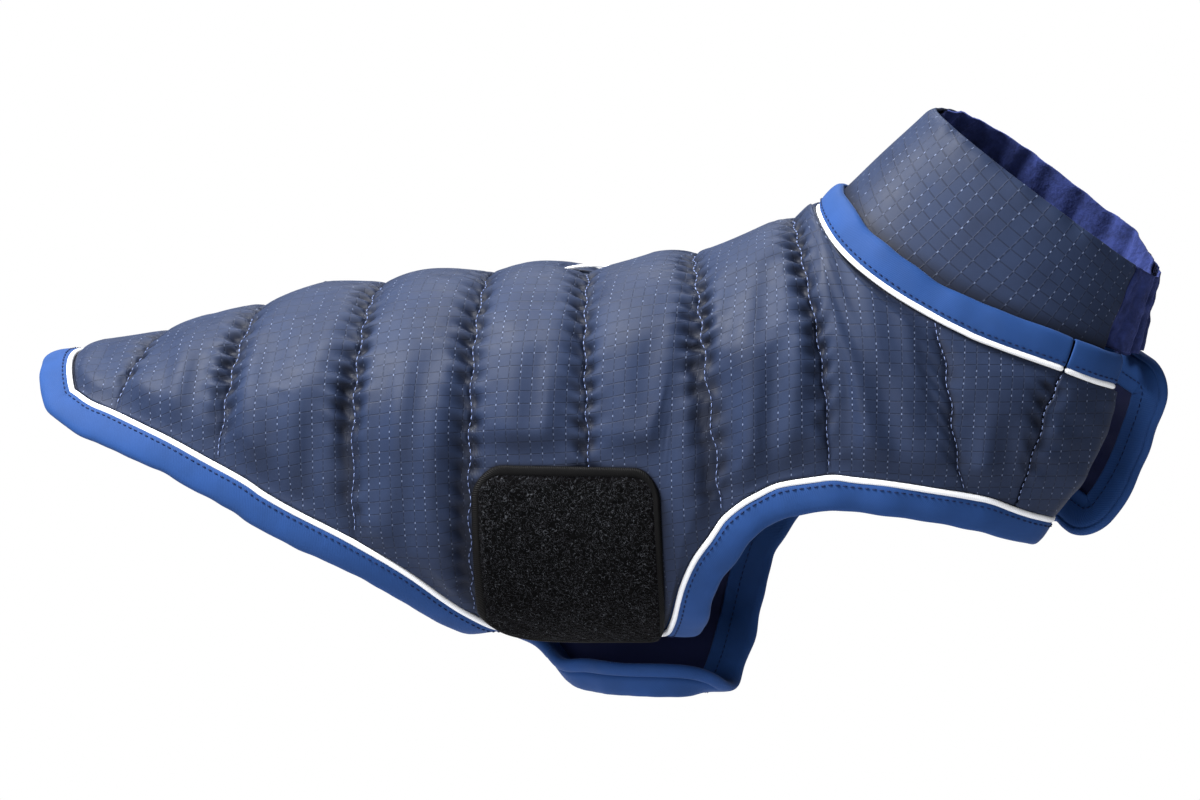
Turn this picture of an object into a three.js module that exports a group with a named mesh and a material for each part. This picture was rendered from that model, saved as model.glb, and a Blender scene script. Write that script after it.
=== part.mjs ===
// Dog winter coat, filled out as if worn: a quilted back panel with two belly flaps and two chest
// flaps, a plain lining, wide blue bands with white piping round every edge, a stand-up collar with
// a gathered fleece lining, a hook-and-loop patch on one flank and a leash slot on the ridge.
// Millimetres. +X towards the neck, +Z up. The wearer's right side is -Y ("near"), its left is +Y
// ("far"). The origin is on the lining, on the ridge, where the wearer's back carries the coat.
import * as THREE from "three";
import { mergeVertices } from "three/addons/utils/BufferGeometryUtils.js";

// Driving dimensions.
const NEAR = -1;
const FAR = 1;
const SEAM_GAP = 0.3; // air between two pieces that are sewn together
const LINING_THICK = 1.0;
const SHELL_INSIDE = LINING_THICK + SEAM_GAP;
const SEAM_LEVEL = 3.0; // outside of the shell where a quilting seam pulls it down
const PUFF_RISE = 5.8; // how far the wadding stands above a seam
const PUFF_FADE = 16; // the wadding thins out over this distance at an edge
const PUCKER_DEPTH = 1.1; // soft folds where a seam shortens the cloth
const PUCKER_PITCH = 25;
const PUCKER_REACH = 9; // how far a gather runs from its seam
const SECTION_SQUARENESS = 0.9; // below 1 the sections are fuller than an ellipse
const FAR_FLAP_DROP = 28; // the unfastened far belly flap hangs lower than the near one
const FAR_BAND_CURL = 60; // degrees its band curls up along the flap's end
const FOLD_U = 9.4; // past this pattern line a chest flap leaves the body's form
const FLAP_END_U = 10;
const NEAR_FOLD_LENGTH = 17; // cloth from the fold line to the chest flap's front edge
const FAR_FOLD_LENGTH = 13;
const NEAR_FOLD_RADIUS = 9; // the near chest flap rolls inwards
const FAR_FOLD_RADIUS = -70; // the far one stands open, flared a little
const NECK_U = 7.26; // the neckline leaves the ridge here
const SEAM_NINE = 9; // the chest extension is sewn on here
const JOIN = 0.004; // half the gap at that seam, in pattern lines
const SLOT = { centre: 4.94, halfLength: 0.31, halfWidth: 6.2, piping: 1.1 }; // leash slot, on the ridge
const PATCH = { from: 4.04, to: 5.64, topZ: -87.5, low: 0.985, above: 5.4, thick: 2.0, corner: 9, border: 3.2 };
const PIPING_RADIUS = 1.5;
const BAND_WIDTH = 12;
const PATH_STEP = 10; // spacing of the sections of bands and piping

// The body's form: rings from the rump to the neck. Each leans in the side view, from a point on the
// ridge (topX, topZ) to one under the belly or on the chest (lowX, lowZ), and is halfWidth wide.
const RINGS = [
  { s: 0, topX: -303, topZ: -50, lowX: -302, lowZ: -182, halfWidth: 50 },
  { s: 1, topX: -258, topZ: -42, lowX: -261, lowZ: -181, halfWidth: 56 },
  { s: 2, topX: -218, topZ: -33, lowX: -222, lowZ: -180, halfWidth: 62 },
  { s: 3, topX: -169, topZ: -21, lowX: -172, lowZ: -177, halfWidth: 66 },
  { s: 4, topX: -115, topZ: -12, lowX: -117, lowZ: -174, halfWidth: 69 },
  { s: 5, topX: -62, topZ: -7, lowX: -61, lowZ: -172, halfWidth: 70 },
  { s: 6, topX: -14, topZ: -4, lowX: -9, lowZ: -170, halfWidth: 70 },
  { s: 7, topX: 28, topZ: 3, lowX: 45, lowZ: -169, halfWidth: 70 },
  { s: 8, topX: 64, topZ: 15, lowX: 106, lowZ: -163, halfWidth: 69 },
  { s: 9, topX: 82, topZ: 24, lowX: 153, lowZ: -149, halfWidth: 66 },
  { s: 10, topX: 90, topZ: 28, lowX: 190, lowZ: -125, halfWidth: 61 },
  { s: 11, topX: 95, topZ: 31, lowX: 217, lowZ: -95, halfWidth: 56 },
  { s: 12, topX: 99, topZ: 33, lowX: 228, lowZ: -65, halfWidth: 50 },
  { s: 13, topX: 102, topZ: 35, lowX: 231, lowZ: -40, halfWidth: 47 },
];

// The cut of the panel. A pattern line u runs from the ridge or neckline down to the lower edge, and
// whole numbers are quilting seams. top is its place on the rings at the ridge, and the rest give
// its lower end on each side: place on the rings, and degrees round from the ridge.
const CUT = [
  { u: 0.0, top: 0.72, nearS: 0.94, nearAngle: 42, farS: 0.94, farAngle: 42 },
  { u: 0.5, top: 1.16, nearS: 1.2, nearAngle: 50, farS: 1.2, farAngle: 50 },
  { u: 1.0, top: 1.85, nearS: 1.52, nearAngle: 56, farS: 1.52, farAngle: 56 },
  { u: 1.5, top: 2.36, nearS: 2.16, nearAngle: 69, farS: 2.16, farAngle: 69 },
  { u: 2.0, top: 2.81, nearS: 2.72, nearAngle: 82, farS: 2.72, farAngle: 82 },
  { u: 2.5, top: 3.36, nearS: 3.35, nearAngle: 95, farS: 3.35, farAngle: 95 },
  { u: 3.0, top: 3.87, nearS: 3.95, nearAngle: 108, farS: 3.95, farAngle: 108 },
  { u: 3.5, top: 4.36, nearS: 4.41, nearAngle: 121, farS: 4.41, farAngle: 121 },
  { u: 4.0, top: 4.83, nearS: 4.87, nearAngle: 142, farS: 5.0, farAngle: 137 },
  { u: 4.2, top: 5.01, nearS: 5.12, nearAngle: 154, farS: 5.3, farAngle: 150 },
  { u: 4.4, top: 5.21, nearS: 5.38, nearAngle: 160, farS: 5.52, farAngle: 163 },
  { u: 4.6, top: 5.4, nearS: 5.62, nearAngle: 162, farS: 5.76, farAngle: 172 },
  { u: 4.8, top: 5.6, nearS: 5.86, nearAngle: 163, farS: 5.98, farAngle: 178 },
  { u: 5.2, top: 6.03, nearS: 6.22, nearAngle: 163, farS: 6.3, farAngle: 181 },
  { u: 5.5, top: 6.37, nearS: 6.42, nearAngle: 162, farS: 6.5, farAngle: 179 },
  { u: 5.62, top: 6.52, nearS: 6.49, nearAngle: 158, farS: 6.6, farAngle: 174 },
  { u: 5.7, top: 6.62, nearS: 6.61, nearAngle: 146, farS: 6.68, farAngle: 156 },
  { u: 5.77, top: 6.69, nearS: 6.76, nearAngle: 129, farS: 6.8, farAngle: 132 },
  { u: 5.84, top: 6.77, nearS: 6.92, nearAngle: 118, farS: 6.93, farAngle: 118 },
  { u: 5.92, top: 6.86, nearS: 7.09, nearAngle: 111, farS: 7.09, farAngle: 111 },
  { u: 6.0, top: 6.96, nearS: 7.24, nearAngle: 105, farS: 7.24, farAngle: 105 },
  { u: 6.25, top: 7.25, nearS: 7.52, nearAngle: 100, farS: 7.52, farAngle: 100 },
  { u: 6.5, top: 7.57, nearS: 7.78, nearAngle: 98, farS: 7.78, farAngle: 98 },
  { u: 7.0, top: 8.45, nearS: 8.28, nearAngle: 99, farS: 8.28, farAngle: 99 },
  { u: 7.26, top: 9.31, nearS: 8.6, nearAngle: 102, farS: 8.6, farAngle: 102 },
  { u: 7.6, top: 10.32, nearS: 9.17, nearAngle: 109, farS: 9.17, farAngle: 109 },
  { u: 8.0, top: 11.01, nearS: 9.72, nearAngle: 120, farS: 9.72, farAngle: 120 },
  { u: 8.5, top: 11.6, nearS: 9.98, nearAngle: 128, farS: 9.98, farAngle: 128 },
  { u: 9.0, top: 12.02, nearS: 10.13, nearAngle: 136, farS: 10.22, farAngle: 136 },
  { u: 9.4, top: 12.26, nearS: 10.32, nearAngle: 149, farS: 10.5, farAngle: 149 },
];

// How far a pattern line bows, halfway down: along the rings, and round them in degrees.
const BOWS = [
  { u: 0, along: -0.05, round: 0 },
  { u: 0.5, along: 0, round: 0 },
  { u: 2, along: 0.03, round: 0 },
  { u: 3, along: 0.01, round: 0 },
  { u: 4, along: 0.1, round: 0 },
  { u: 5, along: 0.12, round: 0 },
  { u: 5.62, along: 0.2, round: 0 },
  { u: 6, along: 0.12, round: 0 },
  { u: 7, along: 0.36, round: 0 },
  { u: 8, along: -0.23, round: 0 },
  { u: 9, along: -0.07, round: -6 },
  { u: 9.4, along: -0.05, round: -3 },
];

// How far round from the ridge the neckline has come at a pattern line.
const NECKLINE = [
  { u: 7.26, angle: 0 },
  { u: 7.4, angle: 38 },
  { u: 7.6, angle: 59 },
  { u: 8.0, angle: 82 },
  { u: 8.5, angle: 101 },
  { u: 9.0, angle: 123 },
  { u: 9.4, angle: 147 },
];

// Height of the wadding between the seams, as a share of PUFF_RISE, at the middle of each channel.
const WADDING = [0.75, 0.9, 1, 1, 1, 1, 1, 0.8, 0.4, 0.25];

// The collar: its rim as one leaning ring, and its wall. Shell fabric outside, with a gathered
// gusset of the lining's fleece across the front, and a gathered fleece lining all round.
const RIM = { topX: 138, topZ: 75, lowX: 241, lowZ: -2, halfWidth: 40 };
const FAR_RIM_LIFT = 6; // the soft rim stands a little higher on the far side
const COLLAR = {
  start: 3.2, // past the neckline, where its wall begins
  outside: -SEAM_GAP, // its outer face runs just inside the neck band
  thick: 2.0,
  frontAngle: 137, // the shell fabric ends here on both sides, and the gusset starts
  rimFrontAngle: 146,
  liningThick: 1.4,
  gathers: 26,
  gatherDepth: 2.6,
  gussetInside: 1.4, // the gusset is set back from the shell fabric
  gussetThick: 1.2,
  gussetGathers: 8,
  gussetDepth: 1.8,
  liningFront: 3.2, // and the lining goes behind it
};

const MATERIALS = {
  ripstop: new THREE.MeshStandardMaterial({ color: "#33435f", roughness: 0.45, metalness: 0 }),
  lining: new THREE.MeshStandardMaterial({ color: "#1b2550", roughness: 0.95, metalness: 0 }),
  band: new THREE.MeshStandardMaterial({ color: "#27529c", roughness: 0.8, metalness: 0 }),
  piping: new THREE.MeshStandardMaterial({ color: "#eceef0", roughness: 0.5, metalness: 0 }),
  hook: new THREE.MeshStandardMaterial({ color: "#0c0c0d", roughness: 0.9, metalness: 0 }),
};

// Monotone cubic curves through the rows of a table, one for each named column.
function curvesThrough(rows, key, columns) {
  const at = rows.map((row) => row[key]);
  const step = at.slice(1).map((x, i) => x - at[i]);
  const curves = {};
  for (const column of columns) {
    const value = rows.map((row) => row[column]);
    const rise = step.map((h, i) => (value[i + 1] - value[i]) / h);
    const slope = value.map((_, i) => {
      if (i === 0) return rise[0];
      if (i === rise.length) return rise[i - 1];
      if (rise[i - 1] * rise[i] <= 0) return 0;
      const before = 2 * step[i] + step[i - 1];
      const after = step[i] + 2 * step[i - 1];
      return (before + after) / (before / rise[i - 1] + after / rise[i]);
    });
    curves[column] = { value, slope };
  }
  return (x) => {
    const clamped = Math.min(Math.max(x, at[0]), at[at.length - 1]);
    let i = 0;
    while (i < step.length - 1 && clamped >= at[i + 1]) i++;
    const h = step[i];
    const f = (clamped - at[i]) / h;
    const made = {};
    for (const column of columns) {
      const { value, slope } = curves[column];
      made[column] =
        (1 + 2 * f) * (1 - f) ** 2 * value[i] +
        f * (1 - f) ** 2 * h * slope[i] +
        f * f * (3 - 2 * f) * value[i + 1] +
        f * f * (f - 1) * h * slope[i + 1];
    }
    return made;
  };
}

const ringAt = curvesThrough(RINGS, "s", ["topX", "topZ", "lowX", "lowZ", "halfWidth"]);
const cutAt = curvesThrough(CUT, "u", ["top", "nearS", "nearAngle", "farS", "farAngle"]);
const bowAt = curvesThrough(BOWS, "u", ["along", "round"]);
const necklineAt = curvesThrough(NECKLINE, "u", ["angle"]);
const NECK_LAST = NECKLINE[NECKLINE.length - 1].angle;
const neckPlaceAt = curvesThrough(
  NECKLINE.map(({ u, angle }) => ({ angle, s: cutAt(u).top })),
  "angle",
  ["s"],
);

const degrees = (angle) => (angle * Math.PI) / 180;
const smoothStep = (from, to, x) => {
  const t = Math.min(Math.max((x - from) / (to - from), 0), 1);
  return t * t * (3 - 2 * t);
};
const power = (x, exponent) => Math.sign(x) * Math.abs(x) ** exponent;

// A point of a leaning ring, round from its top by an angle, on one side.
function ringPoint(ring, side, angle) {
  const c = power(Math.cos(degrees(angle)), SECTION_SQUARENESS);
  const r = power(Math.sin(degrees(angle)), SECTION_SQUARENESS);
  return new THREE.Vector3(
    (ring.topX + ring.lowX) / 2 + ((ring.topX - ring.lowX) / 2) * c,
    side * ring.halfWidth * r,
    (ring.topZ + ring.lowZ) / 2 + ((ring.topZ - ring.lowZ) / 2) * c,
  );
}

function formPoint(side, s, angle) {
  const point = ringPoint(ringAt(s), side, angle);
  const belly = 1 - smoothStep(6.7, 7.9, s);
  if (side === FAR) point.z -= FAR_FLAP_DROP * smoothStep(95, 170, angle) * belly;
  return point;
}

function formNormal(side, s, angle) {
  const along = formPoint(side, s + 0.01, angle).sub(formPoint(side, s - 0.01, angle));
  const round = formPoint(side, s, angle + 0.3).sub(formPoint(side, s, angle - 0.3));
  return along.cross(round).multiplyScalar(side).normalize();
}

// Where pattern point (u, v) lies on the form: v is 0 at the ridge or neckline, 1 at the lower edge.
function placeOnForm(side, u, v) {
  const cut = cutAt(u);
  const lowS = side === NEAR ? cut.nearS : cut.farS;
  const lowAngle = side === NEAR ? cut.nearAngle : cut.farAngle;
  const topAngle = u > NECK_U ? necklineAt(u).angle : 0;
  const bow = bowAt(u);
  const halfway = 4 * v * (1 - v);
  return {
    s: cut.top + (lowS - cut.top) * v + bow.along * halfway,
    angle: topAngle + (lowAngle - topAngle) * v + bow.round * halfway,
  };
}

function onForm(side, u, v) {
  const { s, angle } = placeOnForm(side, u, v);
  return { point: formPoint(side, s, angle), normal: formNormal(side, s, angle) };
}

// The lining's inner face and its outward normal at (u, v). Past FOLD_U the chest flap leaves the
// form on an arc, inwards on the near side and a little outwards on the far side.
function onPanel(side, u, v) {
  if (u <= FOLD_U) return onForm(side, u, v);
  const { point, normal } = onForm(side, FOLD_U, v);
  const low = Math.max(v - 0.02, 0);
  const high = Math.min(v + 0.02, 1);
  const down = onForm(side, FOLD_U, high).point.sub(onForm(side, FOLD_U, low).point).normalize();
  const forward = down.clone().cross(normal).multiplyScalar(side).normalize();
  const radius = side === NEAR ? NEAR_FOLD_RADIUS : FAR_FOLD_RADIUS;
  const length = side === NEAR ? NEAR_FOLD_LENGTH : FAR_FOLD_LENGTH;
  const turn = (length * (u - FOLD_U)) / (FLAP_END_U - FOLD_U) / radius;
  return {
    point: point
      .addScaledVector(forward, radius * Math.sin(turn))
      .addScaledVector(normal, radius * (Math.cos(turn) - 1)),
    normal: normal.clone().multiplyScalar(Math.cos(turn)).addScaledVector(forward, Math.sin(turn)),
  };
}

// The same, with the ridge parted at the leash slot.
function slotHalfWidth(u) {
  const t = (u - SLOT.centre) / SLOT.halfLength;
  return Math.abs(t) >= 1 ? 0 : SLOT.halfWidth * Math.sqrt(1 - t * t);
}

function panelPoint(side, u, v, offset) {
  const { point, normal } = onPanel(side, u, v);
  const parted = slotHalfWidth(u) * Math.max(1 - v / 0.12, 0);
  point.y += side * parted;
  return point.addScaledVector(normal, offset);
}

const lineLengths = new Map();
function lineLength(side, u) {
  const name = `${side} ${u}`;
  if (!lineLengths.has(name)) {
    let length = 0;
    for (let i = 0; i < 12; i++) {
      length += onPanel(side, u, i / 12).point.distanceTo(onPanel(side, u, (i + 1) / 12).point);
    }
    lineLengths.set(name, length);
  }
  return lineLengths.get(name);
}

// The outside of the quilted shell above the form.
function shellOutside(side, u, v) {
  const length = lineLength(side, u);
  const channel = Math.min(Math.floor(u), WADDING.length - 1);
  const t = u - channel;
  const seamDistance = Math.min(t, 1 - t) * 50;
  const edge = smoothStep(0, PUFF_FADE, (1 - v) * length);
  const topEdge = u > NECK_U ? smoothStep(0, PUFF_FADE * 0.7, v * length) : 1;
  const slotEdge = smoothStep(1, 2.2, Math.hypot((u - SLOT.centre) / SLOT.halfLength, (v * length) / 7));
  const crown = (1 - Math.abs(2 * t - 1) ** 2.6) ** 0.6;
  const belly = smoothStep(3.9, 4.2, u) * (1 - smoothStep(5.7, 5.9, u)) * smoothStep(0.62, 0.8, v);
  const puff = PUFF_RISE * WADDING[channel] * (1 - 0.65 * belly) * crown * (0.25 + 0.75 * edge) * topEdge * (0.2 + 0.8 * slotEdge);
  const wave = Math.cos((2 * Math.PI * v * length) / PUCKER_PITCH + 2.1 * Math.round(u) + Math.sin(v * 17));
  const pucker = PUCKER_DEPTH * WADDING[channel] * (0.5 + 0.5 * wave) * Math.sin(Math.PI * t);
  const nearSeam = Math.max(1 - seamDistance / (2 * PUCKER_REACH), 0);
  const free = SEAM_LEVEL + Math.max(puff - pucker * nearSeam * edge * topEdge, 0);
  if (side === FAR) return free;
  const underPatch =
    smoothStep(PATCH.from - 0.16, PATCH.from - 0.03, u) *
    (1 - smoothStep(PATCH.to + 0.03, PATCH.to + 0.16, u)) *
    smoothStep(-18, -8, PATCH.topZ - onForm(side, u, v).point.z);
  return free + (Math.min(free, PATCH.above - 0.9) - free) * underPatch;
}

// Gathers triangles, then makes one closed geometry of them.
class Builder {
  constructor() {
    this.corners = [];
  }
  triangle(a, b, c, flip = false) {
    if (a.distanceTo(b) < 1e-4 || b.distanceTo(c) < 1e-4 || c.distanceTo(a) < 1e-4) return;
    this.corners.push(...(flip ? [a, c, b] : [a, b, c]));
  }
  quad(a, b, c, d, flip = false) {
    this.triangle(a, b, c, flip);
    this.triangle(a, c, d, flip);
  }
  grid(points, flip) {
    for (let i = 0; i + 1 < points.length; i++) {
      for (let j = 0; j + 1 < points[i].length; j++) {
        this.quad(points[i][j], points[i + 1][j], points[i + 1][j + 1], points[i][j + 1], flip);
      }
    }
  }
  // Joins two polylines that run side by side, each a list of { at, point }.
  zip(first, second, flip) {
    let i = 0;
    let j = 0;
    while (i + 1 < first.length || j + 1 < second.length) {
      const stepFirst = j + 1 >= second.length || (i + 1 < first.length && first[i + 1].at <= second[j + 1].at);
      if (stepFirst) {
        this.triangle(first[i].point, first[i + 1].point, second[j].point, flip);
        i++;
      } else {
        this.triangle(first[i].point, second[j + 1].point, second[j].point, flip);
        j++;
      }
    }
  }
  // A tube or slab: closed sections in a row, closed at both ends, or joined end to start.
  sweep(sections, closed = false) {
    const count = sections[0].length;
    const rows = closed ? [...sections, sections[0]] : sections;
    for (let i = 0; i + 1 < rows.length; i++) {
      for (let k = 0; k < count; k++) {
        const next = (k + 1) % count;
        this.quad(rows[i][k], rows[i + 1][k], rows[i + 1][next], rows[i][next]);
      }
    }
    if (closed) return;
    const last = sections[sections.length - 1];
    for (let k = 1; k + 1 < count; k++) {
      this.triangle(sections[0][0], sections[0][k], sections[0][k + 1]);
      this.triangle(last[0], last[k + 1], last[k]);
    }
  }
  geometry() {
    const geometry = new THREE.BufferGeometry();
    const positions = this.corners.flatMap((p) => [p.x, p.y, p.z]);
    geometry.setAttribute("position", new THREE.Float32BufferAttribute(positions, 3));
    const merged = mergeVertices(geometry, 1e-3);
    if (signedVolume(merged) < 0) merged.index.array.reverse();
    merged.computeVertexNormals();
    return merged;
  }
}

function signedVolume(geometry) {
  const position = geometry.getAttribute("position");
  const corner = (i) => new THREE.Vector3().fromBufferAttribute(position, geometry.index.getX(i));
  let sum = 0;
  for (let i = 0; i < geometry.index.count; i += 3) {
    sum += corner(i).dot(corner(i + 1).cross(corner(i + 2))) / 6;
  }
  return sum;
}

const coat = new THREE.Group();
function addPiece(name, builder, material) {
  const mesh = new THREE.Mesh(builder.geometry(), material);
  mesh.name = name;
  coat.add(mesh);
}

// Evenly spaced values from one bound to another, both kept.
function spaced(from, to, count) {
  return Array.from({ length: count + 1 }, (_, i) => from + ((to - from) * i) / count);
}

// One side of a wall: a fine outer grid and a plain, coarser inner one, closed along its free edges.
// Rims lists which edges are closed: low, front, tip and the stretches of the top edge.
function addWallSide(builder, side, lines, across, outside, inside, rims) {
  const flip = side === NEAR;
  const outer = lines.fine.map((u) => across.fine.map((v) => outside(side, u, v)));
  const inner = lines.coarse.map((u) => across.coarse.map((v) => inside(side, u, v)));
  builder.grid(outer, flip);
  builder.grid(inner, !flip);
  const alongLines = (grid, us, column, from, to) =>
    us.map((u, i) => ({ at: u, point: grid[i][column] })).filter((p) => p.at >= from - 1e-9 && p.at <= to + 1e-9);
  const alongLine = (grid, vs, row) => vs.map((v, j) => ({ at: v, point: grid[row][j] }));
  const lastFine = across.fine.length - 1;
  const lastCoarse = across.coarse.length - 1;
  if (rims.low) {
    const ends = [lines.fine[0], lines.fine[lines.fine.length - 1]];
    builder.zip(
      alongLines(outer, lines.fine, lastFine, ...ends),
      alongLines(inner, lines.coarse, lastCoarse, ...ends),
      flip,
    );
  }
  for (const [from, to] of rims.top) {
    builder.zip(
      alongLines(outer, lines.fine, 0, from, to),
      alongLines(inner, lines.coarse, 0, from, to),
      !flip,
    );
  }
  if (rims.front) {
    builder.zip(
      alongLine(outer, across.fine, lines.fine.length - 1),
      alongLine(inner, across.coarse, lines.coarse.length - 1),
      !flip,
    );
  }
  if (rims.back) {
    builder.zip(alongLine(outer, across.fine, 0), alongLine(inner, across.coarse, 0), flip);
  }
}

const SLOT_FROM = SLOT.centre - SLOT.halfLength;
const SLOT_TO = SLOT.centre + SLOT.halfLength;
const PER_CHANNEL = 4;

// Pattern lines: each channel in four, with the slot's ends, the flap's corners and the neck's start.
function patternLines(from, to, perChannel, extra) {
  const lines = new Set([from, to]);
  for (let channel = Math.floor(from); channel < to; channel++) {
    for (let k = 0; k < perChannel; k++) {
      const u = channel + k / perChannel;
      if (u > from + 0.01 && u < to - 0.01) lines.add(u);
    }
  }
  for (const u of extra) if (u > from && u < to) lines.add(u);
  return [...lines].sort((a, b) => a - b);
}

const KEY_LINES = [SLOT_FROM, SLOT_TO, 4.4, 5.62, 5.7, 5.84, NECK_U];
const ACROSS = { fine: spaced(0, 1, 19), coarse: spaced(0, 1, 9) };
const SLOT_LINES = [SLOT_FROM + 0.05, SLOT.centre, SLOT_TO - 0.05];

function bodyLines(to) {
  return {
    fine: patternLines(0, to, PER_CHANNEL, [...KEY_LINES, ...SLOT_LINES, 7.4]),
    coarse: patternLines(0, to, 2, [...KEY_LINES, ...SLOT_LINES]),
  };
}

function addBackShell() {
  const builder = new Builder();
  const to = SEAM_NINE - JOIN;
  for (const side of [NEAR, FAR]) {
    addWallSide(
      builder,
      side,
      bodyLines(to),
      ACROSS,
      (s, u, v) => panelPoint(s, u, v, shellOutside(s, u, v)),
      (s, u, v) => panelPoint(s, u, v, SHELL_INSIDE),
      { low: true, front: true, back: true, top: [[SLOT_FROM, SLOT_TO], [NECK_U, to]] },
    );
  }
  addPiece("back_shell", builder, MATERIALS.ripstop);
}

// The chest extensions, from seam nine to the flap's front edge.
const FLAP_LINES = patternLines(SEAM_NINE + JOIN, FLAP_END_U, 1, [9.2, 9.4, 9.52, 9.64, 9.76, 9.88]);
function addChestPanel(name, side) {
  const builder = new Builder();
  addWallSide(
    builder,
    side,
    { fine: FLAP_LINES, coarse: FLAP_LINES },
    { fine: spaced(0, 1, 11), coarse: ACROSS.coarse },
    (s, u, v) => panelPoint(s, u, v, shellOutside(s, u, v)),
    (s, u, v) => panelPoint(s, u, v, SHELL_INSIDE),
    { low: true, front: true, back: true, top: [[SEAM_NINE + JOIN, FLAP_END_U]] },
  );
  addPiece(name, builder, MATERIALS.ripstop);
}

function addLining() {
  const builder = new Builder();
  const lines = [...bodyLines(SEAM_NINE - JOIN).coarse, ...FLAP_LINES];
  for (const side of [NEAR, FAR]) {
    addWallSide(
      builder,
      side,
      { fine: lines, coarse: lines },
      { fine: ACROSS.coarse, coarse: ACROSS.coarse },
      (s, u, v) => panelPoint(s, u, v, LINING_THICK),
      (s, u, v) => panelPoint(s, u, v, 0),
      { low: true, front: true, back: true, top: [[SLOT_FROM, SLOT_TO], [NECK_U, FLAP_END_U]] },
    );
  }
  addPiece("lining", builder, MATERIALS.lining);
}

function rimPoint(side, angle) {
  const point = ringPoint(RIM, side, angle);
  const lift = side === FAR ? FAR_RIM_LIFT * Math.sin(degrees(angle)) : 0;
  return point.add(new THREE.Vector3(0.6 * lift, 0, 0.8 * lift));
}

// Where the collar's wall stands: angle round from the ridge, and distance up it from its start, as
// a share of the whole. In is how far the point lies inside the collar's outer face.
function necklinePoint(side, angle) {
  return formPoint(side, neckPlaceAt(Math.min(angle, NECK_LAST)).s, angle);
}
function collarRise(side, u) {
  const angle = u > NECK_U ? necklineAt(Math.min(u, FOLD_U)).angle : 0;
  return rimPoint(side, angle).sub(necklinePoint(side, angle)).normalize();
}
function collarPoint(side, angle, rise, inwards) {
  const base = necklinePoint(side, angle);
  const rim = rimPoint(side, angle);
  const up = rim.clone().sub(base).normalize();
  const near = Math.max(angle - 2, 0);
  const far = Math.min(angle + 2, 180);
  const along = necklinePoint(side, far).sub(necklinePoint(side, near));
  const alongRim = rimPoint(side, far).sub(rimPoint(side, near));
  along.normalize().lerp(alongRim.normalize(), rise);
  if (angle < 2 || angle > 178) along.set(0, along.y, 0);
  const normal = up.clone().cross(along).multiplyScalar(side).normalize();
  base.addScaledVector(up, COLLAR.start);
  return base.lerp(rim, rise).addScaledVector(normal, COLLAR.outside - inwards);
}

// The turns at which the collar's shell fabric ends in front, by rise.
const frontEnd = (rise) => COLLAR.frontAngle + (COLLAR.rimFrontAngle - COLLAR.frontAngle) * rise;

function collarSpot(turn, rise, inwards) {
  const around = turn > 180 ? turn - 360 : turn;
  return collarPoint(around < 0 ? NEAR : FAR, Math.abs(around), rise, inwards);
}

// A wall of the collar from columns of turns. Depth tells how far inside the collar's outer face the
// wall's own outer face lies.
function addCollarWall(name, columns, rises, turnAt, depth, thick, material, closed = false) {
  const builder = new Builder();
  const face = (extra) => {
    const grid = columns.map((share) =>
      rises.map((rise) => collarSpot(turnAt(share, rise), closed ? rise + (1 - rise) * 0.1 * smoothStep(0.3, 0.4, 0.5 - Math.abs(share - 0.5)) : rise, depth(share, rise) + extra)),
    );
    return closed ? [...grid, grid[0]] : grid;
  };
  const outside = face(0);
  const inside = face(thick);
  const top = rises.length - 1;
  const end = outside.length - 1;
  builder.grid(outside, false);
  builder.grid(inside, true);
  builder.grid(outside.map((column, i) => [inside[i][0], column[0]]), false);
  builder.grid(outside.map((column, i) => [column[top], inside[i][top]]), false);
  if (!closed) {
    builder.grid([outside[0], inside[0]], true);
    builder.grid([outside[end], inside[end]], false);
  }
  addPiece(name, builder, material);
}

function addCollar() {
  const rises = spaced(0, 1, 4);
  addCollarWall(
    "collar_outer",
    spaced(-1, 1, 40),
    rises,
    (share, rise) => share * frontEnd(rise),
    () => 0,
    COLLAR.thick,
    MATERIALS.ripstop,
  );
  const wave = (share, gathers) => 0.5 - 0.5 * Math.cos(2 * Math.PI * gathers * share);
  addCollarWall(
    "collar_gusset",
    spaced(0, 1, COLLAR.gussetGathers * 3),
    [0.1, 0.27, 0.44, 0.58, 0.68, 0.8, 1],
    (share, rise) => frontEnd(rise) + 0.7 + (360 - 2 * frontEnd(rise) - 1.4) * share,
    (share, rise) => {
      const seam = 1 - 0.8 * Math.exp(-(((rise - 0.68) / 0.1) ** 2));
      return COLLAR.gussetInside + COLLAR.gussetDepth * wave(share, COLLAR.gussetGathers) * seam;
    },
    COLLAR.gussetThick,
    MATERIALS.lining,
  );
  addCollarWall(
    "collar_lining",
    spaced(0, 1, COLLAR.gathers * 3).slice(0, -1),
    rises,
    (share) => 360 * share,
    (share, rise) => {
      const front = smoothStep(frontEnd(rise) - 14, frontEnd(rise) - 4, 180 - Math.abs(360 * share - 180));
      const base = COLLAR.thick + SEAM_GAP + COLLAR.liningFront * front;
      return base + COLLAR.gatherDepth * wave(share, COLLAR.gathers) * (0.35 + 0.65 * smoothStep(1, 0.6, rise));
    },
    COLLAR.liningThick,
    MATERIALS.lining,
    true,
  );
}

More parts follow.
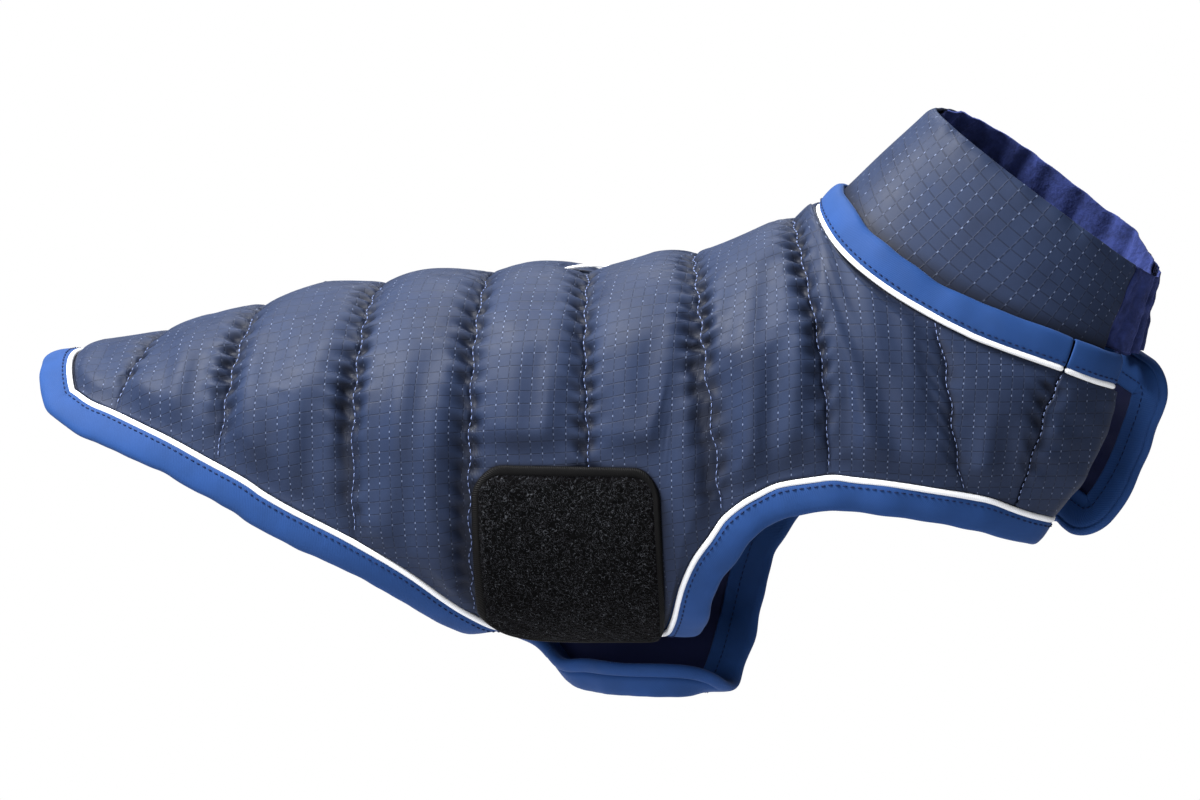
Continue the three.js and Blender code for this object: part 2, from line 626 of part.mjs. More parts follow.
// One run of the panel's edge as evenly spaced frames: a point on the lining's inner face, the
// outward normal and the direction out past the edge. Stops are [side, u, v]. Turn tells which way
// the run goes. Round the neck the direction out is the rise of the collar, so that the band lies
// against it.
function runFrames([side, u0, v0], [, u1, v1], turn) {
  const atNeck = v0 === 0 && v1 === 0 && u0 !== u1;
  const count = Math.max(Math.ceil(Math.abs(u1 - u0) * 60 + Math.abs(v1 - v0) * 100), 2);
  const dense = [];
  let run = 0;
  for (const t of spaced(0, 1, count)) {
    const u = u0 + (u1 - u0) * t;
    const frame = { rise: collarRise(side, u), ...onPanel(side, u, v0 + (v1 - v0) * t) };
    if (dense.length) run += frame.point.distanceTo(dense[dense.length - 1].point);
    dense.push({ ...frame, run });
  }
  const at = (distance) => {
    const found = dense.findIndex((frame) => frame.run >= distance - 1e-6);
    const i = Math.max(found < 0 ? dense.length - 1 : found, 1);
    const [a, b] = [dense[i - 1], dense[i]];
    const t = (distance - a.run) / Math.max(b.run - a.run, 1e-9);
    const blend = (key) => a[key].clone().lerp(b[key], t);
    return { point: blend("point"), normal: blend("normal").normalize(), rise: blend("rise") };
  };
  return spaced(0, run, Math.max(Math.round(run / PATH_STEP), 2)).map((distance) => {
    const { point, normal, rise } = at(distance);
    const behind = at(Math.max(distance - PATH_STEP / 2, 0)).point;
    const tangent = at(Math.min(distance + PATH_STEP / 2, run)).point.sub(behind).normalize();
    if (!atNeck) {
      const out = tangent.clone().cross(normal).multiplyScalar(turn).normalize();
      const u = u0 + ((u1 - u0) * distance) / run;
      const curl = side === FAR ? FAR_BAND_CURL * smoothStep(4.2, 4.7, u) * (1 - smoothStep(5.3, 5.65, u)) : 0;
      return {
        point,
        tangent,
        out: out.clone().applyAxisAngle(tangent, degrees(turn * curl)),
        normal: normal.applyAxisAngle(tangent, degrees(turn * curl)),
      };
    }
    const out = rise.addScaledVector(tangent, -rise.dot(tangent)).normalize();
    return { point, tangent, out, normal: out.clone().cross(tangent).multiplyScalar(turn).normalize() };
  });
}

// All the runs between the stops, with a fan of frames round each corner.
function edgeFrames(stops, turn) {
  const frames = [];
  for (let k = 0; k + 1 < stops.length; k++) {
    if (stops[k][0] !== stops[k + 1][0]) continue;
    const next = runFrames(stops[k], stops[k + 1], turn);
    const last = frames[frames.length - 1];
    if (!last) {
      frames.push(...next);
      continue;
    }
    const blend = (key, t) => last[key].clone().lerp(next[0][key], t).normalize();
    const between = (t) => ({
      point: next[0].point,
      normal: blend("normal", t),
      tangent: blend("tangent", t),
      out: blend("out", t),
    });
    const bend = (last.out.angleTo(next[0].out) * 180) / Math.PI;
    if (bend < 15) {
      frames.pop();
      frames.push(between(0.5), ...next.slice(1));
    } else {
      const steps = Math.ceil(bend / 30);
      frames.push(...spaced(0, 1, steps).slice(1, -1).map(between), ...next);
    }
  }
  return frames;
}

// A section is a list of [out past the edge, above the lining's inner face].
function sweptEdge(frames, section) {
  const builder = new Builder();
  builder.sweep(
    frames.map(({ point, normal, out }) =>
      section.map(([past, above]) => point.clone().addScaledVector(out, past).addScaledVector(normal, above)),
    ),
  );
  return builder;
}

const PIPING_PAST = PIPING_RADIUS + 1.6;
const PIPING_ABOVE = 2.6;
const pipingSection = spaced(0, 360, 5)
  .slice(0, 5)
  .map((angle) => [
    PIPING_PAST + PIPING_RADIUS * Math.cos(degrees(angle)),
    PIPING_ABOVE + PIPING_RADIUS * Math.sin(degrees(angle)),
  ]);

// A band is a folded strip, slack along its middle and rounded at its outer fold.
const BAND_FROM = PIPING_PAST + PIPING_RADIUS + SEAM_GAP;
const BAND_THICK = 3.6;
const bandSection = [
  { across: 0, above: 0.6 },
  { across: 0, above: 3.0 },
  { across: 0.3, above: 3.6 },
  { across: 0.85, above: 3.7 },
  { across: 1, above: 1.9 },
  { across: 0.85, above: 0.1 },
  { across: 0.3, above: 0 },
].map(({ across, above }) => [BAND_FROM + BAND_WIDTH * across, (above * BAND_THICK) / 3.6]);

const HEM_END = 4.3;
const NECK_FOLD = 9.5; // the near flap's neck band stops as the flap rolls inwards
const EDGES = {
  hem: {
    turn: -1,
    stops: [[NEAR, HEM_END, 1], [NEAR, 0, 1], [NEAR, 0, 0], [FAR, 0, 0], [FAR, 0, 1], [FAR, HEM_END, 1]],
  },
  near: { turn: 1, stops: [[NEAR, HEM_END, 1], [NEAR, FLAP_END_U, 1], [NEAR, FLAP_END_U, 0]] },
  far: {
    turn: -1,
    stops: [[FAR, HEM_END, 1], [FAR, FLAP_END_U, 1], [FAR, FLAP_END_U, 0], [FAR, SEAM_NINE, 0]],
  },
  neck: { turn: 1, stops: [[NEAR, SEAM_NINE, 0], [NEAR, NECK_U, 0], [FAR, NECK_U, 0], [FAR, SEAM_NINE, 0]] },
  neckNear: { turn: 1, stops: [[NEAR, NECK_FOLD, 0], [NEAR, SEAM_NINE, 0]] },
};

// Frames along one edge, pulled in a little at each end so that neighbours stand a gap apart.
function framesOf(name) {
  const { stops, turn } = EDGES[name];
  const frames = edgeFrames(stops, turn);
  const pull = SEAM_GAP / 2;
  const last = frames.length - 1;
  frames[0].point.addScaledVector(frames[0].tangent, pull);
  frames[last].point.addScaledVector(frames[last].tangent, -pull);
  return frames;
}

function addEdges() {
  for (const [name, edge] of Object.entries({
    hem: "hem",
    edge_near: "near",
    edge_far: "far",
    neck: "neck",
    neck_front_near: "neckNear",
  })) {
    addPiece(`${name}_band`, sweptEdge(framesOf(edge), bandSection), MATERIALS.band);
    addPiece(`${name}_piping`, sweptEdge(framesOf(edge), pipingSection), MATERIALS.piping);
  }
}

// The loop patch on the near flank, and the narrow binding round it. Both lie on the shell.
const PATCH_COLUMNS = [0, 0.02, 0.06, 0.12, 0.2, 0.35, 0.5, 0.65, 0.8, 0.88, 0.94, 0.98, 1];
function patchTop(u) {
  let low = 0;
  let high = 1;
  for (let i = 0; i < 24; i++) {
    const v = (low + high) / 2;
    if (onForm(NEAR, u, v).point.z > PATCH.topZ) low = v;
    else high = v;
  }
  return low;
}

// Point of the patch's field: across 0..1 between its side edges, down 0..1 from its top edge, with
// its outline drawn in by inset and its corners rounded.
function patchPoint(across, down, inset, above) {
  const perU = 47;
  const width = (PATCH.to - PATCH.from) * perU;
  const radius = PATCH.corner - inset;
  const fromSide = Math.min(across, 1 - across) * (width - 2 * inset);
  const round = fromSide >= radius ? 0 : radius - Math.sqrt(radius ** 2 - (radius - fromSide) ** 2);
  const u = PATCH.from + (inset + across * (width - 2 * inset)) / perU;
  const length = lineLength(NEAR, Math.round(u * 100) / 100);
  const top = patchTop(u) + (inset + round) / length;
  const low = PATCH.low - (inset + round * 0.6) / length;
  return panelPoint(NEAR, u, top + (low - top) * down, above);
}

function addPatch() {
  const field = new Builder();
  const inset = PATCH.border + SEAM_GAP;
  const rows = spaced(0, 1, 7);
  const face = (above) => PATCH_COLUMNS.map((across) => rows.map((down) => patchPoint(across, down, inset, above)));
  const outside = face(PATCH.above + PATCH.thick);
  const inside = face(PATCH.above);
  field.grid(outside, true);
  field.grid(inside, false);
  const ring = (grid) => [
    ...grid.map((column) => column[0]),
    ...grid[grid.length - 1].slice(1),
    ...grid.map((column) => column[rows.length - 1]).reverse().slice(1),
    ...grid[0].slice(1, -1).reverse(),
  ];
  const edge = (grid) => {
    const points = ring(grid);
    return [...points, points[0]];
  };
  field.grid([edge(outside), edge(inside)], true);
  addPiece("loop_patch", field, MATERIALS.hook);

  const binding = new Builder();
  const outline = (inset2, above) =>
    ring(PATCH_COLUMNS.map((across) => rows.map((down) => patchPoint(across, down, inset2, above))));
  const lines = [
    outline(0, PATCH.above),
    outline(0, PATCH.above + 1.4),
    outline(0.8, PATCH.above + 2.3),
    outline(PATCH.border - 0.5, PATCH.above + 2.3),
    outline(PATCH.border, PATCH.above + 1.7),
    outline(PATCH.border, PATCH.above),
  ];
  binding.sweep(lines[0].map((_, i) => lines.map((line) => line[i])), true);
  addPiece("patch_binding", binding, MATERIALS.hook);
}

// Piping round the leash slot, laid just inside its edge.
function addSlotPiping() {
  const builder = new Builder();
  const inner = SLOT.halfWidth - SLOT.piping - 0.6;
  const reach = SLOT.halfLength - 0.045;
  const centre = (turn) => {
    const side = Math.sin(turn) < 0 ? NEAR : FAR;
    const point = onPanel(side, SLOT.centre + reach * Math.cos(turn), 0).point;
    const normal = onPanel(side, SLOT.centre + reach * Math.cos(turn), 0).normal;
    point.y = inner * Math.sin(turn);
    return point.addScaledVector(normal, 3.4);
  };
  const sections = spaced(0, 2 * Math.PI, 20)
    .slice(0, 20)
    .map((turn) => {
      const point = centre(turn);
      const tangent = centre(turn + 0.05).sub(centre(turn - 0.05)).normalize();
      const up = new THREE.Vector3(0, 0, 1);
      const out = tangent.clone().cross(up).normalize();
      return spaced(0, 360, 6)
        .slice(0, 6)
        .map((angle) =>
          point
            .clone()
            .addScaledVector(out, SLOT.piping * Math.cos(degrees(angle)))
            .addScaledVector(up, SLOT.piping * Math.sin(degrees(angle))),
        );
    });
  builder.sweep(sections, true);
  addPiece("leash_slot_piping", builder, MATERIALS.piping);
}

addCollar();
addBackShell();
addChestPanel("chest_panel_near", NEAR);
addChestPanel("chest_panel_far", FAR);
addLining();
addEdges();
addPatch();
addSlotPiping();

export default coat;
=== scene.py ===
import math

import bmesh
import bpy
import numpy as np
from mathutils import Matrix


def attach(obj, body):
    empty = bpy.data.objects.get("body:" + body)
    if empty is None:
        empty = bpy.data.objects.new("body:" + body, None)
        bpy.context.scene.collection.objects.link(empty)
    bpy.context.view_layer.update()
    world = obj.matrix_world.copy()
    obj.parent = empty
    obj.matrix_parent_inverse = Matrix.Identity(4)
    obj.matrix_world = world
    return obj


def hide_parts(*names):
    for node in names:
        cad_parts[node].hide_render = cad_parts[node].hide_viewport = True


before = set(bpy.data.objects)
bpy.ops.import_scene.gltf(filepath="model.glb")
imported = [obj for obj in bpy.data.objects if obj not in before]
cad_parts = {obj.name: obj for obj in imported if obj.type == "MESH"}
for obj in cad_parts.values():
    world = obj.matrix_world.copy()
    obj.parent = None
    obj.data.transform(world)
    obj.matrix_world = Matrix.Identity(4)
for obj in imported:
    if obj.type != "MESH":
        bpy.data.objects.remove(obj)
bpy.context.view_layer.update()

# Dog winter coat, filled out as if worn. The cloth is cut and placed by the same tables as the solid
# part: lengths are millimetres until a mesh is made, +X is towards the neck, +Z up, the near side is
# -Y and the far side +Y. A pattern line u runs from the ridge or neckline (v = 0) to the lower edge
# (v = 1), and whole numbers of u are quilting seams.

NEAR = -1
FAR = 1
MM = 0.001

SEAM_LEVEL = 1.9  # the shell above the lining's inner face, where a quilting seam holds it down
SHELL_INSIDE = 1.3
PUFF_RISE = 6.8
PUFF_FADE = 16
SECTION_SQUARENESS = 0.9
FAR_FLAP_DROP = 28
FAR_BAND_CURL = 60
NEAR_BAND_CURL = 42
FOLD_U = 9.4
FLAP_END_U = 10
NEAR_FOLD_LENGTH = 17
FAR_FOLD_LENGTH = 13
NEAR_FOLD_RADIUS = 9
FAR_FOLD_RADIUS = -70
NECK_U = 7.26
SEAM_FIVE = 5  # this one starts at the leash slot
SEAM_EIGHT = 8  # a calm one, over the shoulder
SEAM_NINE = 9  # the chest flaps start here
JOIN = 0.004
HEM_END = 4.3
NECK_FOLD = 9.5
CHANNEL = 48  # usual distance between two quilting seams
SLOT = {
    "centre": 4.94,
    "half_length": 0.31,
    "half_width": 6.2,
    "reach": 0.12,  # the share of a pattern line that the slot pushes down
    "calm": 7,  # how far down the wadding is thinner
    "cord_inset": 1.7,
    "cord_radius": 0.85,
}
PATCH = {
    "start": 4.04,
    "end": 5.64,
    "top_z": -87.5,
    "low": 0.985,
    "above": 5.0,
    "corner": 11,
    "rim": 1.2,  # how far inside the outline the pile starts
    "scale": 47,  # millimetres in one channel there
}


class Curves:
    """Monotone cubic curves through the rows of a table, one for each column after the first."""

    def __init__(self, columns, rows):
        table = np.array(rows, float)
        self.at = table[:, 0]
        self.columns = {}
        step = np.diff(self.at)
        for k, name in enumerate(columns[1:], 1):
            value = table[:, k]
            rise = np.diff(value) / step
            slope = np.concatenate([rise[:1], rise])
            for i in range(1, len(rise)):
                if rise[i - 1] * rise[i] <= 0:
                    slope[i] = 0
                    continue
                before = 2 * step[i] + step[i - 1]
                after = step[i] + 2 * step[i - 1]
                slope[i] = (before + after) / (before / rise[i - 1] + after / rise[i])
            self.columns[name] = (value, slope)

    def __call__(self, x, name):
        x = np.clip(x, self.at[0], self.at[-1])
        i = np.clip(np.searchsorted(self.at, x, side="right") - 1, 0, len(self.at) - 2)
        h = self.at[i + 1] - self.at[i]
        f = (x - self.at[i]) / h
        value, slope = self.columns[name]
        ends = (1 + 2 * f) * (1 - f) ** 2 * value[i] + f * f * (3 - 2 * f) * value[i + 1]
        return ends + f * (1 - f) ** 2 * h * slope[i] + f * f * (f - 1) * h * slope[i + 1]


# The body's form: leaning rings from the rump to the neck.
RINGS = Curves(
    ("s", "top_x", "top_z", "low_x", "low_z", "half_width"),
    [
        (0, -303, -50, -302, -182, 50),
        (1, -258, -42, -261, -181, 56),
        (2, -218, -33, -222, -180, 62),
        (3, -169, -21, -172, -177, 66),
        (4, -115, -12, -117, -174, 69),
        (5, -62, -7, -61, -172, 70),
        (6, -14, -4, -9, -170, 70),
        (7, 28, 3, 45, -169, 70),
        (8, 64, 15, 106, -163, 69),
        (9, 82, 24, 153, -149, 66),
        (10, 90, 28, 190, -125, 61),
        (11, 95, 31, 217, -95, 56),
        (12, 99, 33, 228, -65, 50),
        (13, 102, 35, 231, -40, 47),
    ],
)

# The cut of the panel: each pattern line's place on the rings at the ridge, and its lower end on each
# side as a place on the rings and degrees round from the ridge.
CUT = Curves(
    ("u", "top", "near_s", "near_angle", "far_s", "far_angle"),
    [
        (0.0, 0.72, 0.94, 42, 0.94, 42),
        (0.5, 1.16, 1.2, 50, 1.2, 50),
        (1.0, 1.85, 1.52, 56, 1.52, 56),
        (1.5, 2.36, 2.16, 69, 2.16, 69),
        (2.0, 2.81, 2.72, 82, 2.72, 82),
        (2.5, 3.36, 3.35, 95, 3.35, 95),
        (3.0, 3.87, 3.95, 108, 3.95, 108),
        (3.5, 4.36, 4.41, 121, 4.41, 121),
        (4.0, 4.83, 4.87, 142, 5.0, 137),
        (4.2, 5.01, 5.12, 154, 5.3, 150),
        (4.4, 5.21, 5.38, 160, 5.52, 163),
        (4.6, 5.4, 5.62, 162, 5.76, 172),
        (4.8, 5.6, 5.86, 163, 5.98, 178),
        (5.2, 6.03, 6.22, 163, 6.3, 181),
        (5.5, 6.37, 6.42, 162, 6.5, 179),
        (5.62, 6.52, 6.49, 158, 6.6, 174),
        (5.7, 6.62, 6.61, 146, 6.68, 156),
        (5.77, 6.69, 6.76, 129, 6.8, 132),
        (5.84, 6.77, 6.92, 118, 6.93, 118),
        (5.92, 6.86, 7.09, 111, 7.09, 111),
        (6.0, 6.96, 7.24, 105, 7.24, 105),
        (6.25, 7.25, 7.52, 100, 7.52, 100),
        (6.5, 7.57, 7.78, 98, 7.78, 98),
        (7.0, 8.45, 8.28, 99, 8.28, 99),
        (7.26, 9.31, 8.6, 102, 8.6, 102),
        (7.6, 10.32, 9.17, 109, 9.17, 109),
        (8.0, 11.01, 9.72, 120, 9.72, 120),
        (8.5, 11.6, 9.98, 128, 9.98, 128),
        (9.0, 12.02, 10.13, 136, 10.22, 136),
        (9.4, 12.26, 10.32, 149, 10.5, 149),
    ],
)

# How far a pattern line bows halfway down: along the rings, and round them in degrees.
BOWS = Curves(
    ("u", "along", "round"),
    [
        (0, -0.05, 0),
        (0.5, 0, 0),
        (2, 0.03, 0),
        (3, 0.01, 0),
        (4, 0.1, 0),
        (5, 0.12, 0),
        (5.62, 0.2, 0),
        (6, 0.12, 0),
        (7, 0.36, 0),
        (8, -0.23, 0),
        (9, -0.07, -6),
        (9.4, -0.05, -3),
    ],
)

# How far round from the ridge the neckline has come at a pattern line.
NECK_ROWS = [(7.26, 0), (7.4, 38), (7.6, 59), (8.0, 82), (8.5, 101), (9.0, 123), (9.4, 147)]
NECKLINE = Curves(("u", "angle"), NECK_ROWS)
NECK_LAST = NECK_ROWS[-1][1]
NECK_PLACE = Curves(("angle", "s"), [(angle, float(CUT(u, "top"))) for u, angle in NECK_ROWS])

WADDING = np.array([0.75, 0.9, 1, 1, 1, 1, 1, 0.8, 0.4, 0.25])

# The collar's rim is one leaning ring.
RIM = {"top_x": 138, "top_z": 75, "low_x": 241, "low_z": -2, "half_width": 40}
FAR_RIM_LIFT = 6
COLLAR_START = 3.2
COLLAR_OUTSIDE = -0.3
COLLAR_FRONT = 137
RIM_FRONT = 146
FLEECE_INSIDE = 2.7
GUSSET_INSIDE = 1.4
COLLAR_HEIGHT = 52  # of the cloth
WELD = 0.02 * MM


def smooth_step(start, end, x):
    t = np.clip((x - start) / (end - start), 0, 1)
    return t * t * (3 - 2 * t)


def window(x, start, full, fade, end):
    """1 from full to fade, and 0 before the start and after the end."""
    return smooth_step(start, full, x) * (1 - smooth_step(fade, end, x))


def unit(vectors):
    return vectors / np.maximum(np.linalg.norm(vectors, axis=-1, keepdims=True), 1e-12)


def dot(a, b):
    return (a * b).sum(axis=-1, keepdims=True)


def by(values):
    """A number for each point, ready to multiply its three coordinates."""
    return np.asarray(values, float)[..., None]


def whole(places):
    """Places on a grid, as whole numbers to pick rows by."""
    return np.round(places).astype(int)


def arc(points):
    """The distance run along a row of points."""
    return np.concatenate([[0], np.cumsum(np.linalg.norm(np.diff(points, axis=0), axis=1))])


def along_arc(distance, run, table):
    """The rows of a table at distances along its run."""
    return np.stack([np.interp(distance, run, table[:, k]) for k in range(3)], axis=-1)


def soft_noise(x, y, seed, size):
    """Smooth noise, mostly from -1 to 1, whose blobs are about size across."""
    draw = np.random.default_rng(seed)
    total = 0
    for _ in range(8):
        heading = draw.uniform(0, 2 * np.pi)
        wave = np.pi / (size * draw.uniform(0.7, 1.7))
        across = x * np.cos(heading) + y * np.sin(heading)
        total = total + np.sin(wave * across + draw.uniform(0, 2 * np.pi))
    return total / 3


def signed_power(x):
    return np.sign(x) * np.abs(x) ** SECTION_SQUARENESS


def on_ring(top_x, top_z, low_x, low_z, half_width, side, angle):
    """A point of a leaning ring, round from its top by an angle."""
    c = signed_power(np.cos(np.radians(angle)))
    r = signed_power(np.sin(np.radians(angle)))
    x = (top_x + low_x) / 2 + (top_x - low_x) / 2 * c
    z = (top_z + low_z) / 2 + (top_z - low_z) / 2 * c
    return np.stack(np.broadcast_arrays(x, side * half_width * r, z), axis=-1)


def form_point(side, s, angle):
    ring = [RINGS(s, name) for name in ("top_x", "top_z", "low_x", "low_z", "half_width")]
    point = on_ring(*ring, side, angle)
    drop = FAR_FLAP_DROP * smooth_step(95, 170, angle) * (1 - smooth_step(6.7, 7.9, s))
    point[..., 2] -= np.where(np.asarray(side) == FAR, drop, 0)
    return point


def form_normal(side, s, angle):
    along = form_point(side, s + 0.01, angle) - form_point(side, s - 0.01, angle)
    around = form_point(side, s, angle + 0.3) - form_point(side, s, angle - 0.3)
    return unit(np.cross(along, around) * by(side))


def place_on_form(side, u, v):
    near = np.asarray(side) == NEAR
    top = CUT(u, "top")
    low_s = np.where(near, CUT(u, "near_s"), CUT(u, "far_s"))
    low_angle = np.where(near, CUT(u, "near_angle"), CUT(u, "far_angle"))
    top_angle = np.where(u > NECK_U, NECKLINE(u, "angle"), 0)
    halfway = 4 * v * (1 - v)
    s = top + (low_s - top) * v + BOWS(u, "along") * halfway
    return s, top_angle + (low_angle - top_angle) * v + BOWS(u, "round") * halfway


def on_form(side, u, v):
    s, angle = place_on_form(side, u, v)
    return form_point(side, s, angle), form_normal(side, s, angle)


def on_panel(side, u, v):
    """The lining's inner face and its outward normal. Past FOLD_U a chest flap leaves the form."""
    side, u, v = np.broadcast_arrays(np.asarray(side, float), np.asarray(u, float), np.asarray(v, float))
    held = np.minimum(u, FOLD_U)
    point, normal = on_form(side, held, v)
    low = on_form(side, held, np.maximum(v - 0.02, 0))[0]
    high = on_form(side, held, np.minimum(v + 0.02, 1))[0]
    forward = unit(np.cross(unit(high - low), normal) * by(side))
    radius = np.where(side == NEAR, NEAR_FOLD_RADIUS, FAR_FOLD_RADIUS)
    length = np.where(side == NEAR, NEAR_FOLD_LENGTH, FAR_FOLD_LENGTH)
    turn = length * np.maximum(u - FOLD_U, 0) / (FLAP_END_U - FOLD_U) / radius
    point = point + forward * by(radius * np.sin(turn)) + normal * by(radius * (np.cos(turn) - 1))
    return point, normal * by(np.cos(turn)) + forward * by(np.sin(turn))


def slot_half_width(u):
    t = np.clip((u - SLOT["centre"]) / SLOT["half_length"], -1, 1)
    return SLOT["half_width"] * np.sqrt(1 - t * t)


def panel_point(side, u, v, above):
    point, normal = on_panel(side, u, v)
    point = point + normal * by(above)
    point[..., 1] += side * slot_half_width(u) * np.maximum(1 - v / SLOT["reach"], 0)
    return point


LENGTH_LINES = np.linspace(0, FLAP_END_U, 301)


def measured_lengths(side):
    steps = np.linspace(0, 1, 25)
    points = on_panel(side, LENGTH_LINES[:, None], steps[None, :])[0]
    return np.linalg.norm(np.diff(points, axis=1), axis=-1).sum(axis=1)


LENGTHS = {NEAR: measured_lengths(NEAR), FAR: measured_lengths(FAR)}


def line_length(side, u):
    near = np.interp(u, LENGTH_LINES, LENGTHS[NEAR])
    far = np.interp(u, LENGTH_LINES, LENGTHS[FAR])
    return np.where(np.asarray(side) == NEAR, near, far)


def patch_share(side, u, v):
    """1 under the patch, 0 away from it."""
    z = on_form(side, np.minimum(u, FOLD_U), v)[0][..., 2]
    start, end = PATCH["start"], PATCH["end"]
    columns = window(u, start - 0.2, start - 0.04, end + 0.04, end + 0.2)
    return np.where(np.asarray(side) == NEAR, columns * smooth_step(-16, -4, PATCH["top_z"] - z), 0)


def edge_fades(side, u, v):
    """How far the wadding is free of the lower edge, the neckline and the slot, from 0 to 1."""
    length = line_length(side, u)
    low = smooth_step(0, PUFF_FADE, (1 - v) * length)
    top = np.where(u > NECK_U, smooth_step(0, PUFF_FADE * 0.7, v * length), 1)
    slot = np.hypot((u - SLOT["centre"]) / SLOT["half_length"], v * length / SLOT["calm"])
    return low, top, smooth_step(1, 2.2, slot)


PUCKER_PITCH = 18
PUCKER_DEPTH = 1.1
PUCKER_REACH = (8.5, 7)  # from the seam, before and after it


def puckers(side, u, down, v):
    """Folds that run out from a quilting seam, where the stitches shorten the cloth."""
    seam = np.round(u)
    off = (u - seam) * CHANNEL
    before = off < 0
    wander = 1.5 * np.sin(down / 19 + 1.7 * seam) + 0.9 * np.sin(down / 7.3 + seam)
    tilt = 0.5 * np.sin(down / 27 + 2.3 * seam) + np.where(before, -0.35, 0.25)
    phase = 2.1 * seam + 0.9 * side + np.where(before, 0, 1.9) + wander
    wave = 0.5 + 0.5 * np.cos(2 * np.pi * (down + tilt * np.abs(off)) / PUCKER_PITCH + phase)
    uneven = 0.75 + 0.35 * np.sin(down / 11 + 3.1 * seam + np.where(before, 0, 2))
    calm = 1 - 0.6 * smooth_step(0.4, 0.85, v)
    calm = calm * (1 - 0.85 * window(u, 5.45, 5.6, 5.84, 5.93)) * np.where(seam == SEAM_EIGHT, 0.4, 1)
    reach = np.where(before, *PUCKER_REACH) * (0.75 + 0.45 * uneven)
    return PUCKER_DEPTH * wave**1.6 * uneven * calm * np.exp(-((np.abs(off) / reach) ** 1.4))


def shell_height(side, u, v):
    """The quilted shell's outside above the lining's inner face."""
    length = line_length(side, u)
    channel = np.clip(np.floor(u).astype(int), 0, len(WADDING) - 1)
    wadding = WADDING[channel]
    t = u - channel
    low, top, slot = edge_fades(side, u, v)
    crown = (1 - np.abs(2 * t - 1) ** 2.8) ** 0.55
    belly = window(u, 3.9, 4.2, 5.7, 5.9) * smooth_step(0.62, 0.8, v)
    lip = np.where(np.asarray(side) == NEAR, 0.12, 0.4)
    puff = PUFF_RISE * wadding * (1 - 0.65 * belly) * crown
    puff = puff * (0.25 + 0.75 * low) * top * (lip + (1 - lip) * slot)
    gather = puckers(side, u, v * length, v) * np.minimum(wadding + 0.15, 1) * low * top
    along = on_panel(side, u, v)[0][..., 0]
    middle = np.sin(np.pi * t)
    swell = 0.9 * soft_noise(along, v * length, 11, 34) * middle * low * top * wadding
    folds = soft_noise(along, v * length * 0.25, 13, 9) * smooth_step(0.25, 0.7, v) * middle**0.5
    swell = swell + 2.3 * folds * low * top * np.minimum(wadding + 0.2, 1)
    # The shoulder is smoother, but for folds that fan down from the neckline.
    swell = swell * (1 - 0.5 * window(u, 7.5, 7.7, 8.1, 8.3))
    fanned = window(u, 7.2, 7.35, 7.75, 7.95) * (1 - smooth_step(0.35, 0.7, v))
    swell = swell + 1.6 * np.cos(2 * np.pi * (u * CHANNEL + 4 * v) / 11) * fanned * top
    free = SEAM_LEVEL + np.maximum(puff - gather * crown + swell, 0)
    under = patch_share(side, u, v)
    return free + (np.minimum(free, PATCH["above"] - 0.5) - free) * under


RING_FIVE_ANGLES = np.linspace(0, 200, 81)
RING_FIVE_ARC = arc(form_point(NEAR, np.full(81, 5.0), RING_FIVE_ANGLES))
RING_FIVE_HEIGHT = 165
CHEST_LEVEL = 60  # height at which the chest's flat cloth is taken to start


def cloth_place(side, u, v):
    """Where a point of the panel lies on the flat cloth, in millimetres: along the coat, and down."""
    s, angle = place_on_form(side, np.minimum(u, FOLD_U), v)
    point = on_panel(side, u, v)[0]
    size = (RINGS(s, "top_z") - RINGS(s, "low_z")) / RING_FIVE_HEIGHT
    round_ring = np.interp(angle, RING_FIVE_ANGLES, RING_FIVE_ARC) * size
    chest = smooth_step(7.5, 9.5, s)
    along = point[..., 0] + chest * 0.6 * (RINGS(s, "half_width") - np.abs(point[..., 1]))
    down = (1 - chest) * round_ring + chest * (CHEST_LEVEL - point[..., 2])
    return np.stack([along, down], axis=-1)


def rim_point(side, angle):
    point = on_ring(*RIM.values(), side, angle)
    lift = np.where(np.asarray(side) == FAR, FAR_RIM_LIFT * np.sin(np.radians(angle)), 0)
    point[..., 0] += 0.6 * lift
    point[..., 2] += 0.8 * lift
    return point


def neckline_point(side, angle):
    return form_point(side, NECK_PLACE(np.minimum(angle, NECK_LAST), "s"), angle)


def collar_rise(side, u):
    angle = np.where(u > NECK_U, NECKLINE(np.minimum(u, FOLD_U), "angle"), 0)
    return unit(rim_point(side, angle) - neckline_point(side, angle))


def side_and_angle(turn):
    """The side and the angle from the ridge of a place round the collar. Degrees run down the far
    side first, so the near side's are past 180, or negative."""
    around = np.where(turn > 180, turn - 360, turn)
    return np.where(around < 0, NEAR, FAR), np.abs(around)


def collar_spot(turn, rise, inwards):
    """A point of the collar, at degrees round it and at a share of its height."""
    side, angle = side_and_angle(turn)
    base = neckline_point(side, angle)
    rim = rim_point(side, angle)
    up = unit(rim - base)
    back = np.maximum(angle - 2, 0)
    ahead = np.minimum(angle + 2, 180)
    along = unit(neckline_point(side, ahead) - neckline_point(side, back))
    along_rim = unit(rim_point(side, ahead) - rim_point(side, back))
    along = along * by(1 - rise) + along_rim * by(rise)
    middle = (angle < 2) | (angle > 178)
    along[middle, 0] = 0
    along[middle, 2] = 0
    normal = unit(np.cross(up, along) * by(side))
    base = base + up * COLLAR_START
    return base + (rim - base) * by(rise) + normal * by(COLLAR_OUTSIDE - inwards)


def front_end(rise):
    return COLLAR_FRONT + (RIM_FRONT - COLLAR_FRONT) * rise


# Materials. Lengths in them are metres.

